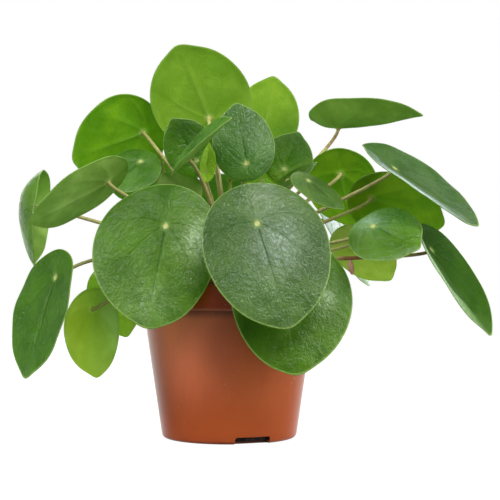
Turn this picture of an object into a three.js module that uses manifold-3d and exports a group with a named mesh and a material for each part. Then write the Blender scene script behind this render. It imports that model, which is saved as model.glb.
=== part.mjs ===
// A potted Chinese money plant (Pilea peperomioides) in a plastic nursery pot.
//
// Millimetres, +Z up. The origin is the middle of the flat foot of the pot, +X is the right-hand
// side and -Y is the front. The pot holds a plug of soil, the soil holds one short woody stem in
// a plain hole, and every leaf stalk grows from that stem. Each round blade is held by its stalk
// near the middle of its underside and keeps a hair's breadth of clearance to it.

import * as THREE from 'three';
import { mergeVertices } from 'three/addons/utils/BufferGeometryUtils.js';
import Module from 'manifold-3d';

const wasm = await Module();
wasm.setup();

// ---------- Driving dimensions ----------

const CLEARANCE = 0.3;            // kept between two pieces that touch
const WELD = 1e-4;                // points nearer than this are one point

const POT = {
  height: 108,
  footRadius: 46,
  neckRadius: 59.3,               // outside, just under the rim band
  rimRadius: 61.7,
  rimHeight: 17,
  rimTaper: 0.5,                  // how much the rim band widens from its lower edge to its top
  wall: 1.4,
  floor: 1.6,
  footRounding: 1.5,
  sides: 48,
};

const SLOT = {
  count: 3,
  first: 21,                      // degrees to the right of the front
  width: 25,
  height: 5,
  depth: 7,
  excess: 4,                      // how far the cutter stands out of the pot
};

const SOIL = {
  top: 96,
  rings: [0.8, 0.55, 0.3],        // shares of the radius at which the top is lumpy
  bump: 1.2,
  bumps: 5,
  holeRadius: 5.6,
  holeDepth: 22,
  holeSides: 16,
};

const TRUNK = { radius: 5, topRadius: 4, collar: 104, top: 122, rounding: 2, sides: 10 };

// The dry scale on a stalk: the leaf it hangs under, and how far along that leaf's stalk.
const BRACT = { on: 'right_hanging', along: 0.49, length: 10, radius: 1.5, sides: 6 };

const STALK = {
  radius: 1.35,
  sides: 6,
  steps: 8,
  root: 116,                      // height at which it leaves the trunk
  shoulder: 0.35,                 // share of the way out at which it bends over
  rise: 0.5,                      // share of the climb done by then
  leastClimb: 20,
  neck: 14,                       // how far under the blade it turns square to it
  slack: 0.15,                    // added to the clearance under a blade
};

const BLADE = {
  thickness: 0.8,
  base: 0.28,                     // share of the length that lies behind the stalk
  ovate: 0.07,                    // how much the tip half is narrower than the base half
  point: 2.5,                     // how far the tip stands out of the round outline
  pointAngle: 0.25,
  sectors: 20,
  rings: [0.42, 0.76, 1],
};

// Each blade: where its stalk meets it, the way from there to its tip, the way its upper face
// looks, its width, and how it is bent. dome: how far the margin drops all round. fold: how far
// the two halves drop from the midrib. Below zero, both rise. lean: how far the outline is
// pushed to one side. root, rise and via: where the stalk leaves the trunk and how it goes.
const LEAVES = {
  front_middle: {
    at: [19, -82, 149], tip: [21, -22, -65], face: [0.1, -0.95, 0.3], width: 82, base: 0.3, lean: 2,
    dome: 5,
  },
  front_left: {
    at: [-41, -68, 147], tip: [-12, -18, -65], face: [-0.1, -0.96, 0.28], width: 83, base: 0.31, lean: -6,
    dome: 4, fold: 6,
  },
  front_low: {
    at: [34, -66, 118], tip: [12, -22, -66], face: [0.1, -0.95, 0.25], width: 80, lean: 5, dome: 4,
    root: 108,
  },
  far_left: {
    at: [-144, 0, 161], tip: [-4, 0, -42], face: [-0.97, 0.1, 0.15], width: 54, base: 0.38,
    dome: 14, fold: 2,
  },
  left_hanging: {
    at: [-116, -42, 112], tip: [-19, -8, -67], face: [-0.8, -0.55, 0.2], width: 68, base: 0.22, lean: -3,
    dome: -1, fold: -2, root: 108, via: [-82, -26, 138],
  },
  left_raised: {
    at: [-81, -40, 176], tip: [-48, -15, -30], face: [-0.45, 0.5, 0.72], width: 52, base: 0.25,
    dome: -4,
  },
  left_inner: {
    at: [-61, 2, 190], tip: [-22, -8, -18], face: [-0.2, -0.6, 0.75], width: 46, dome: 2,
  },
  left_low_small: {
    at: [-91, -44, 91], tip: [2, 4, -46], face: [-0.45, 0.85, 0.1], width: 40, base: 0.25, lean: 3,
    dome: 2, fold: 2, root: 104, rise: 34,
  },
  left_low_behind: {
    at: [-81, -28, 106], tip: [12, -2, -35], face: [-0.2, -0.9, 0.3], width: 36, dome: 2,
    root: 106, rise: 24,
  },
  upper_left_back: {
    at: [-61, 30, 210], tip: [-49, -17, -18], face: [-0.2, 0.9, 0.4], width: 68, base: 0.22, lean: 1,
    dome: 3,
  },
  top_back: {
    at: [-14, 20, 220], tip: [-21, -16, 51], face: [0.1, 0.95, 0.25], width: 70, dome: 3,
  },
  top_middle: {
    at: [24, 34, 208], tip: [7, 10, 41], face: [0.1, 0.95, 0.15], width: 46, dome: 2,
  },
  top_right: {
    at: [76, 26, 214], tip: [57, -20, 2], face: [-0.05, 0.25, 0.96], width: 60, base: 0.26,
    dome: -7, fold: -6,
  },
  inner_dark: {
    at: [-22, -13, 190], tip: [-17, -4, 28], face: [-0.35, -0.85, 0.3], width: 36, dome: 2,
  },
  edge_on: {
    at: [-27, -42, 191], tip: [29, -14, 27], face: [-0.77, -0.1, 0.62], width: 46, fold: -6,
  },
  young: {
    at: [-15, -27, 182], tip: [2, -2, 20], face: [0.3, -0.9, 0.1], width: 11, fold: -3,
  },
  middle_upright: {
    at: [12, -26, 188], tip: [-7, 12, 42], face: [0, -0.96, 0.27], width: 42, base: 0.22, dome: 3,
  },
  inner_olive: {
    at: [-32, -3, 161], tip: [-14, 4, 20], face: [-0.2, 0.9, 0.1], width: 36, dome: 2,
  },
  middle_dark: {
    at: [38, -6, 184], tip: [10, 4, 26], face: [0.2, -0.9, 0.35], width: 35, dome: 2,
  },
  middle_behind: {
    at: [23, -4, 177], tip: [0, -6, -24], face: [0, -0.7, 0.7], width: 26, dome: 1,
  },
  right_shaded: {
    at: [77, 14, 181], tip: [8, 16, -35], face: [0.1, 0.8, 0.55], width: 50, base: 0.36, dome: 2,
  },
  right_under: {
    at: [98, -2, 165], tip: [50, -2, -16], face: [0.2, 0.75, 0.6], width: 60, base: 0.24, dome: 3,
  },
  right_large: {
    at: [111, -42, 185], tip: [54, -10, -39], face: [0.6, -0.3, 0.74], width: 72, base: 0.29, dome: -1,
    fold: -5,
  },
  right_small: {
    at: [53, -48, 177], tip: [24, -10, -18], face: [0.45, -0.5, 0.7], width: 30, dome: 2,
  },
  right_narrow: {
    at: [39, -20, 177], tip: [20, 3, 13], face: [-0.4, -0.3, 0.85], width: 26, dome: 1,
  },
  right_front: {
    at: [95, -62, 147], tip: [29, -18, -12], face: [0.1, -0.75, 0.65], width: 52, dome: 3,
  },
  right_yellow: {
    at: [85, -6, 136], tip: [27, 16, -27], face: [0.1, 0.75, 0.6], width: 40, dome: 2,
  },
  right_hanging: {
    at: [137, -30, 130], tip: [36, -14, -58], face: [0.75, -0.35, 0.5], width: 66, base: 0.22,
    dome: -3, fold: -4,
  },
  right_silver: {
    at: [75, 62, 152], tip: [29, 10, -50], face: [0.8, -0.25, 0.5], width: 52, dome: 3,
  },
  back_top: {
    at: [-6, 52, 226], tip: [-14, 30, 26], face: [0.05, 0.7, 0.6], width: 50, dome: 3,
  },
  back_high_left: {
    at: [-50, 60, 190], tip: [-30, 32, -22], face: [-0.3, 0.55, 0.78], width: 60, dome: 5,
  },
  back_middle: {
    at: [0, 74, 178], tip: [6, 42, -22], face: [0.05, 0.6, 0.8], width: 60, dome: 5,
  },
  back_low_left: {
    at: [-60, 64, 128], tip: [-22, 26, -52], face: [-0.6, 0.7, 0.35], width: 66, dome: 4, root: 110,
  },
  back_low_middle: {
    at: [2, 92, 122], tip: [4, 24, -58], face: [0.05, 0.93, 0.35], width: 68, dome: 5, root: 108,
  },
  back_low_right: {
    at: [48, 60, 122], tip: [22, 26, -48], face: [0.6, 0.7, 0.35], width: 58, dome: 4, root: 106,
  },
};

// ---------- Helpers ----------

const vector = (xyz) => new THREE.Vector3(...xyz);

/** A manifold solid from a closed geometry. */
function toSolid(geometry) {
  const bare = geometry.clone();
  bare.deleteAttribute('normal');
  bare.deleteAttribute('uv');
  const merged = mergeVertices(bare, WELD);
  return new wasm.Manifold(new wasm.Mesh({
    numProp: 3,
    vertProperties: new Float32Array(merged.attributes.position.array),
    triVerts: new Uint32Array(merged.index.array),
  }));
}

/** A geometry from a manifold solid. */
function toGeometry(solid) {
  const { vertProperties, triVerts } = solid.getMesh();
  const geometry = new THREE.BufferGeometry();
  geometry.setAttribute('position', new THREE.BufferAttribute(new Float32Array(vertProperties), 3));
  geometry.setIndex(new THREE.BufferAttribute(new Uint32Array(triVerts), 1));
  geometry.computeVertexNormals();
  return geometry;
}

/** A solid of revolution about Z. The profile lists [radius, height] from the axis to the axis. */
function turned(profile, sides) {
  const lathe = new THREE.LatheGeometry(profile.map(([r, z]) => new THREE.Vector2(r, z)), sides);
  return lathe.rotateX(Math.PI / 2);
}

/** A round bar along a curve. */
function bar(curve, radius, sides, steps) {
  const section = new THREE.Shape(Array.from({ length: sides }, (_, i) => {
    const angle = (2 * Math.PI * i) / sides;
    return new THREE.Vector2(radius * Math.cos(angle), radius * Math.sin(angle));
  }));
  return new THREE.ExtrudeGeometry(section, { steps, bevelEnabled: false, extrudePath: curve });
}

// ---------- Blades ----------

/** The directions of a blade: along to the tip, up out of its upper face, and across. */
function bladeFrame(leaf) {
  const along = vector(leaf.tip).normalize();
  const up = vector(leaf.face);
  up.addScaledVector(along, -up.dot(along)).normalize();
  return { along, up, across: new THREE.Vector3().crossVectors(up, along) };
}

/** The outline of a blade at an angle from its tip, as [forward, sideways] from the stalk. */
function outlinePoint(leaf, angle) {
  const base = leaf.base ?? BLADE.base;
  const length = (vector(leaf.tip).length() - BLADE.point) / (1 - base);
  const tip = BLADE.point * Math.exp(-((angle / BLADE.pointAngle) ** 2));
  const forward = length * (0.5 - base + 0.5 * Math.cos(angle)) + tip;
  const half = 0.5 * leaf.width * (1 - BLADE.ovate * Math.cos(angle));
  const sideways = half * Math.sin(angle) + (leaf.lean ?? 0) * Math.sin(angle) ** 2;
  return [forward, sideways];
}

/** A point of the upper face, at a share of the way from the stalk to the margin. */
function bladePoint(leaf, frame, share, angle) {
  const [forward, sideways] = outlinePoint(leaf, angle).map((value) => value * share);
  const drop = (leaf.dome ?? 0) * share ** 2
    + (leaf.fold ?? 0) * (Math.abs(sideways) / (leaf.width / 2));
  return vector(leaf.at)
    .addScaledVector(frame.along, forward)
    .addScaledVector(frame.across, sideways)
    .addScaledVector(frame.up, -drop);
}

/** A closed blade: two alike faces a blade's thickness apart, joined round the margin. */
function bladeGeometry(leaf) {
  const frame = bladeFrame(leaf);
  const { sectors, rings, thickness } = BLADE;
  const upper = [bladePoint(leaf, frame, 0, 0)];
  for (const share of rings) {
    for (let i = 0; i < sectors; i += 1) {
      const turn = (2 * Math.PI * i) / sectors;
      upper.push(bladePoint(leaf, frame, share, turn > Math.PI ? turn - 2 * Math.PI : turn));
    }
  }
  const lower = upper.map((point) => point.clone().addScaledVector(frame.up, -thickness));
  const at = (ring, i) => 1 + ring * sectors + (i % sectors);
  const face = [];
  for (let i = 0; i < sectors; i += 1) {
    face.push([0, at(0, i), at(0, i + 1)]);
    for (let ring = 1; ring < rings.length; ring += 1) {
      face.push([at(ring - 1, i), at(ring, i), at(ring, i + 1)]);
      face.push([at(ring - 1, i), at(ring, i + 1), at(ring - 1, i + 1)]);
    }
  }
  const count = upper.length;
  const triangles = face.flat();
  face.forEach(([a, b, c]) => triangles.push(a + count, c + count, b + count));
  const last = rings.length - 1;
  for (let i = 0; i < sectors; i += 1) {
    const [a, b] = [at(last, i), at(last, i + 1)];
    triangles.push(a, a + count, b + count, a, b + count, b);
  }
  const geometry = new THREE.BufferGeometry().setFromPoints([...upper, ...lower]);
  geometry.setIndex(triangles);
  geometry.computeVertexNormals();
  return geometry;
}

/** The curve of the stalk that holds a blade, from the stem to just under the blade. */
function stalkCurve(leaf) {
  const { up } = bladeFrame(leaf);
  const root = new THREE.Vector3(0, 0, leaf.root ?? STALK.root);
  const navel = vector(leaf.at);
  const neck = leaf.via ? vector(leaf.via) : navel.clone().addScaledVector(up, -STALK.neck);
  const slant = navel.clone().sub(neck).normalize().cross(up).length();
  const drop = Math.max(leaf.fold ?? 0, 0) + Math.max(leaf.dome ?? 0, 0) * BLADE.rings[0];
  const slope = drop / (leaf.width / 3);
  const gap = BLADE.thickness + CLEARANCE + STALK.slack + STALK.radius * (slant + slope);
  const end = navel.clone().addScaledVector(up, -gap);
  const rise = leaf.rise ?? Math.max(end.z - root.z, STALK.leastClimb) * STALK.rise;
  const shoulder = new THREE.Vector3(end.x, end.y, 0).multiplyScalar(STALK.shoulder);
  shoulder.z = root.z + rise;
  return new THREE.CubicBezierCurve3(root, shoulder, neck, end);
}

// ---------- The pieces ----------

/** A dry papery scale that hangs from one stalk. */
function bractSolid() {
  const { on, along, length, radius, sides } = BRACT;
  const scale = turned([[0, -length], [radius, -length / 2], [radius / 2, -length / 5], [0, 0]], sides);
  const base = stalkCurve(LEAVES[on]).getPoint(along);
  scale.translate(base.x, base.y, base.z);
  return toSolid(scale);
}

/** The stem: the woody trunk and every leaf stalk, grown together. */
function stemSolid() {
  const foot = SOIL.top - SOIL.holeDepth + CLEARANCE;
  let solid = toSolid(turned([
    [0, foot],
    [TRUNK.radius, foot],
    [TRUNK.radius, TRUNK.collar],
    [TRUNK.topRadius, TRUNK.top - TRUNK.rounding],
    [TRUNK.topRadius - TRUNK.rounding, TRUNK.top],
    [0, TRUNK.top],
  ], TRUNK.sides));
  for (const leaf of Object.values(LEAVES)) {
    solid = solid.add(toSolid(bar(stalkCurve(leaf), STALK.radius, STALK.sides, STALK.steps)));
  }
  return solid.add(bractSolid());
}

/** The inside radius of the tapered wall at a height. */
function innerRadius(height) {
  const share = height / (POT.height - POT.rimHeight);
  return POT.footRadius + (POT.neckRadius - POT.footRadius) * share - POT.wall;
}

/** The pot: floor, tapered wall and rim band, with the drainage slots cut at the foot. */
function potSolid() {
  const step = POT.height - POT.rimHeight;
  let solid = toSolid(turned([
    [0, 0],
    [POT.footRadius - POT.footRounding, 0],
    [POT.footRadius, POT.footRounding],
    [POT.neckRadius, step],
    [POT.rimRadius - POT.rimTaper, step],
    [POT.rimRadius, POT.height],
    [POT.rimRadius - POT.wall, POT.height],
    [POT.rimRadius - POT.wall - POT.rimTaper, step + POT.wall],
    [innerRadius(step), step - POT.wall],
    [innerRadius(POT.floor), POT.floor],
    [0, POT.floor],
  ], POT.sides));
  for (let i = 0; i < SLOT.count; i += 1) {
    const turn = THREE.MathUtils.degToRad(SLOT.first - 90 + (360 / SLOT.count) * i);
    const cutter = new THREE.BoxGeometry(SLOT.depth + SLOT.excess, SLOT.width, SLOT.height + SLOT.excess);
    cutter.translate(POT.footRadius + (SLOT.excess - SLOT.depth) / 2, 0, (SLOT.height - SLOT.excess) / 2);
    cutter.rotateZ(turn);
    solid = solid.subtract(toSolid(cutter));
  }
  return solid;
}

/** The plug of soil, its top gently lumpy, with the plain hole that the stem stands in. */
function soilSolid() {
  const floor = POT.floor + CLEARANCE;
  const step = POT.height - POT.rimHeight - POT.wall;
  const edge = innerRadius(step) - CLEARANCE;
  const { top, rings, bump, bumps, holeRadius, holeDepth, holeSides } = SOIL;
  const body = turned([
    [0, floor],
    [innerRadius(floor) - CLEARANCE, floor],
    [edge, step],
    [edge, top],
    ...rings.map((share) => [edge * share, top]),
    [0, top],
  ], POT.sides);
  const place = body.attributes.position;
  for (let i = 0; i < place.count; i += 1) {
    const [x, y, z] = [place.getX(i), place.getY(i), place.getZ(i)];
    const share = Math.hypot(x, y) / edge;
    if (z > step + bump && share < (1 + rings[0]) / 2) {
      place.setZ(i, top + bump * share * Math.sin(bumps * Math.atan2(y, x) + share * edge));
    }
  }
  const [bottom, mouth] = [top - holeDepth, top + holeDepth];
  const hole = turned([[0, bottom], [holeRadius, bottom], [holeRadius, mouth], [0, mouth]], holeSides);
  return toSolid(body).subtract(toSolid(hole));
}

// ---------- The group ----------

const group = new THREE.Group();

function addPiece(name, geometry, material) {
  const mesh = new THREE.Mesh(geometry, new THREE.MeshStandardMaterial(material));
  mesh.name = name;
  group.add(mesh);
}

addPiece('pot', toGeometry(potSolid()), { color: 0xa55a3c, roughness: 0.45, metalness: 0 });
addPiece('soil', toGeometry(soilSolid()), { color: 0x2b1c12, roughness: 1, metalness: 0 });
addPiece('stem', toGeometry(stemSolid()), { color: 0x7d6a3c, roughness: 0.6, metalness: 0 });
for (const [name, leaf] of Object.entries(LEAVES)) {
  addPiece(`leaf_${name}`, bladeGeometry(leaf), { color: 0x4f7f24, roughness: 0.35, metalness: 0 });
}

export default group;
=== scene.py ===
"""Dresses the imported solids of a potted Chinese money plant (Pilea peperomioides).

Round leaf blades on long stalks grow from one short woody trunk, which stands in a pot of soil.
Sizes are in millimetres and go into the meshes in metres. +Z is up and -Y is the front.
"""

import logging
import math
import random
from collections.abc import Sequence
from dataclasses import dataclass, field
from enum import Enum
from typing import Any

import bpy
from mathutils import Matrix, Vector, noise


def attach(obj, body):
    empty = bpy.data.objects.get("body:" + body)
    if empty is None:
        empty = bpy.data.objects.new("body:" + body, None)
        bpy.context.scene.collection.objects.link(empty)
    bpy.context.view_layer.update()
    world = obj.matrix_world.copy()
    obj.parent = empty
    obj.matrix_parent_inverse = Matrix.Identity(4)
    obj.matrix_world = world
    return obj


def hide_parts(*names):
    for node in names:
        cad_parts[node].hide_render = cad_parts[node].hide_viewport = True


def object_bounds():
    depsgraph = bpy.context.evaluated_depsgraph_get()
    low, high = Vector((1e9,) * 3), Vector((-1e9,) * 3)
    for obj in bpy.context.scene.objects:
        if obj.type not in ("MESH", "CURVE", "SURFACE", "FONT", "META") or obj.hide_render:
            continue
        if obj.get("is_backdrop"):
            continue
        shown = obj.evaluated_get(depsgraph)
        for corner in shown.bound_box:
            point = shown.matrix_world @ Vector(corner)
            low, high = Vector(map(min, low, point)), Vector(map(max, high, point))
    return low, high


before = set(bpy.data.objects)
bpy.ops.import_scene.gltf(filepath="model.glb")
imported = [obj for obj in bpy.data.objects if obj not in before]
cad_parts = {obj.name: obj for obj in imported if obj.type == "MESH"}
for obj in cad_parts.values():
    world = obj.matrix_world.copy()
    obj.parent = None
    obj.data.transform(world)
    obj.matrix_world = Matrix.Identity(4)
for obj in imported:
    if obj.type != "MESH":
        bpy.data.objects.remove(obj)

MM = 0.001
WHITE = (1.0, 1.0, 1.0, 1.0)

Rgb = tuple[float, float, float]
Triple = tuple[float, float, float]
Place = tuple[float, float]

log = logging.getLogger("plant")


# ---------- Numbers ----------


def linear(colour: Rgb) -> tuple[float, float, float, float]:
    """Turns a display colour into a scene colour.

    Args:
        colour: Red, green and blue from 0 to 255.

    Returns:
        Linear red, green, blue and an alpha of 1.
    """
    shares = (channel / 255 for channel in colour)
    made = [s / 12.92 if s <= 0.04045 else ((s + 0.055) / 1.055) ** 2.4 for s in shares]
    return made[0], made[1], made[2], 1.0


def smoothstep(low: float, high: float, value: float) -> float:
    """Rises smoothly from 0 to 1.

    Args:
        low: Where the rise starts.
        high: Where the rise ends.
        value: The place that is asked for.

    Returns:
        A number from 0 to 1.
    """
    share = min(max((value - low) / (high - low), 0.0), 1.0)
    return share * share * (3 - 2 * share)


def bell(distance: float, width: float) -> float:
    """A bump of height 1 round a distance of 0, about as wide as the width each way."""
    return math.exp(-((distance / width) ** 2))


# ---------- Node trees ----------


class Tree:
    """A shader or geometry tree that nodes are added to."""

    def __init__(self, tree: bpy.types.NodeTree) -> None:
        """Wraps a tree and empties it."""
        self.tree = tree
        self.tree.nodes.clear()

    def node(
        self,
        kind: str,
        settings: dict[str, Any] | None = None,
        inputs: dict[int | str, Any] | None = None,
        output: int | str = 0,
    ) -> "Signal":
        """Adds a node.

        Args:
            kind: The type of the node.
            settings: Its properties, set before the inputs.
            inputs: Values or signals for its sockets, by index, identifier or name.
            output: Which of its outputs comes back.

        Returns:
            The output as a signal.
        """
        made = self.tree.nodes.new(kind)
        for key, value in (settings or {}).items():
            setattr(made, key, value)
        for key, value in (inputs or {}).items():
            self._feed(self._find(made.inputs, key), value)
        if not made.outputs:
            return Signal(self, None, made)
        return Signal(self, self._find(made.outputs, output), made)

    @staticmethod
    def _find(sockets: Any, key: int | str) -> bpy.types.NodeSocket:
        """Finds a socket.

        Args:
            sockets: The inputs or the outputs of a node.
            key: The socket's index, identifier or name.

        Returns:
            The socket.
        """
        if isinstance(key, int):
            return sockets[key]
        return next(s for s in sockets if key in (s.identifier, s.name))

    def _feed(self, socket: bpy.types.NodeSocket, value: Any) -> None:
        """Links a signal to a socket, or sets the socket's own value.

        Args:
            socket: The socket.
            value: The signal or the value.
        """
        if isinstance(value, Signal):
            self.tree.links.new(value.socket, socket)
        else:
            socket.default_value = value

    def blend(self, factor: "Signal | float", first: "Signal", second: "Signal") -> "Signal":
        """Mixes two surfaces, or two kinds of air: 0 is the first and 1 the second."""
        return self.node("ShaderNodeMixShader", inputs={0: factor, 1: first, 2: second})


@dataclass(frozen=True)
class Signal:
    """A socket of a tree that arithmetic can be written with."""

    tree: Tree
    socket: bpy.types.NodeSocket | None
    source: bpy.types.Node

    def _math(self, operation: str, *values: "Signal | float") -> "Signal":
        """Adds one Math node on the given values."""
        return self.tree.node("ShaderNodeMath", {"operation": operation}, dict(enumerate(values)))

    def __add__(self, other: "Signal | float") -> "Signal":
        """The sum."""
        return self._math("ADD", self, other)

    def __radd__(self, other: float) -> "Signal":
        """The sum, with the number first."""
        return self._math("ADD", other, self)

    def __sub__(self, other: "Signal | float") -> "Signal":
        """The difference."""
        return self._math("SUBTRACT", self, other)

    def __rsub__(self, other: float) -> "Signal":
        """The difference, with the number first."""
        return self._math("SUBTRACT", other, self)

    def __mul__(self, other: "Signal | float") -> "Signal":
        """The product."""
        return self._math("MULTIPLY", self, other)

    def __rmul__(self, other: float) -> "Signal":
        """The product, with the number first."""
        return self._math("MULTIPLY", other, self)

    def __truediv__(self, other: "Signal | float") -> "Signal":
        """The quotient."""
        return self._math("DIVIDE", self, other)

    def __abs__(self) -> "Signal":
        """The distance from 0."""
        return self._math("ABSOLUTE", self)

    def __round__(self) -> "Signal":
        """The nearest whole number."""
        return self._math("ROUND", self)

    def most(self, other: "Signal | float") -> "Signal":
        """The larger of the two."""
        return self._math("MAXIMUM", self, other)

    def root(self) -> "Signal":
        """The square root."""
        return self._math("SQRT", self)

    def over(self, limit: float) -> "Signal":
        """1 where the signal is above the limit, and else 0."""
        return self._math("GREATER_THAN", self, limit)

    def rise(self, low: float, high: float, start: float = 0, end: float = 1) -> "Signal":
        """Goes smoothly from one value to another as the signal rises.

        Args:
            low: The signal at which the rise starts.
            high: The signal at which it ends.
            start: The value before the rise.
            end: The value after it.

        Returns:
            The new signal.
        """
        return self.tree.node(
            "ShaderNodeMapRange",
            {"interpolation_type": "SMOOTHSTEP"},
            {0: self, 1: low, 2: high, 3: start, 4: end},
        )

    def part(self, output: int | str) -> "Signal":
        """Another output of the same node."""
        return Signal(self.tree, self.tree._find(self.source.outputs, output), self.source)

    def split(self) -> tuple["Signal", "Signal", "Signal"]:
        """The three parts of a vector."""
        made = self.tree.node("ShaderNodeSeparateXYZ", inputs={0: self})
        return made, made.part(1), made.part(2)


class Shader(Tree):
    """The node tree of one material."""

    def __init__(self, name: str) -> None:
        """Makes an empty material.

        Args:
            name: The material's name.
        """
        self.material = bpy.data.materials.new(name)
        self.material.use_nodes = True
        super().__init__(self.material.node_tree)

    def attribute(self, name: str, output: str = "Vector") -> Signal:
        """An attribute of the mesh."""
        return self.node("ShaderNodeAttribute", {"attribute_name": name}, output=output)

    def place(self) -> Signal:
        """The place on the object, in metres."""
        return self.node("ShaderNodeTexCoord", output="Object")

    def times(self, vector: Signal, scale: Signal | Triple) -> Signal:
        """A vector or a colour multiplied part by part."""
        return self.node("ShaderNodeVectorMath", {"operation": "MULTIPLY"}, {0: vector, 1: scale})

    def grain(
        self,
        vector: Signal,
        scale: float,
        detail: float = 2,
        roughness: float = 0.5,
        distortion: float = 0,
    ) -> Signal:
        """Soft noise from about 0.3 to 0.7.

        Args:
            vector: The place.
            scale: Waves in one unit of the place.
            detail: How many finer waves are added.
            roughness: How strong those are.
            distortion: How much the waves are bent.

        Returns:
            The noise.
        """
        return self.node(
            "ShaderNodeTexNoise",
            inputs={
                "Vector": vector,
                "Scale": scale,
                "Detail": detail,
                "Roughness": roughness,
                "Distortion": distortion,
            },
        )

    def cells(self, vector: Signal, scale: float, feature: str = "DISTANCE_TO_EDGE") -> Signal:
        """A cell pattern: the distance to the edges, or to the middles, of the cells."""
        return self.node(
            "ShaderNodeTexVoronoi", {"feature": feature}, {"Vector": vector, "Scale": scale}
        )

    def mix(self, factor: Signal | float, first: Signal | Rgb, second: Signal | Rgb) -> Signal:
        """Mixes two colours.

        Args:
            factor: 0 for the first and 1 for the second.
            first: A display colour or a colour signal.
            second: A display colour or a colour signal.

        Returns:
            The mixed colour.
        """
        inputs: dict[int | str, Any] = {"Factor_Float": factor}
        for key, colour in (("A_Color", first), ("B_Color", second)):
            inputs[key] = colour if isinstance(colour, Signal) else linear(colour)
        return self.node("ShaderNodeMix", {"data_type": "RGBA"}, inputs, "Result_Color")

    def shade(self, colour: Signal, amount: Signal) -> Signal:
        """Multiplies a colour by a number."""
        return self.node(
            "ShaderNodeVectorMath", {"operation": "SCALE"}, {0: colour, "Scale": amount}
        )

    def bump(self, height: Signal, distance: float, strength: float = 1) -> Signal:
        """Turns heights into bent normals.

        Args:
            height: The relief from 0 to 1.
            distance: How high a relief of 1 is, in millimetres.
            strength: How much of it shows.

        Returns:
            The normals.
        """
        return self.node(
            "ShaderNodeBump",
            inputs={"Height": height, "Distance": distance * MM, "Strength": strength},
        )

    def surface(
        self, colour: Any, roughness: Signal | float, other: dict[int | str, Any]
    ) -> Signal:
        """A Principled surface of this colour and roughness, with the other sockets by name."""
        inputs = {"Base Color": colour, "Roughness": roughness, **other}
        return self.node("ShaderNodeBsdfPrincipled", inputs=inputs)

    def lit_through(self, colour: Rgb) -> Signal:
        """A surface that only lets light through, in a display colour."""
        return self.node("ShaderNodeBsdfTranslucent", inputs={"Color": linear(colour)})

    def finish(self, surface: Signal) -> bpy.types.Material:
        """Connects the surface and gives the material back."""
        self.node("ShaderNodeOutputMaterial", inputs={"Surface": surface})
        return self.material


# ---------- Finishes ----------


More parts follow.
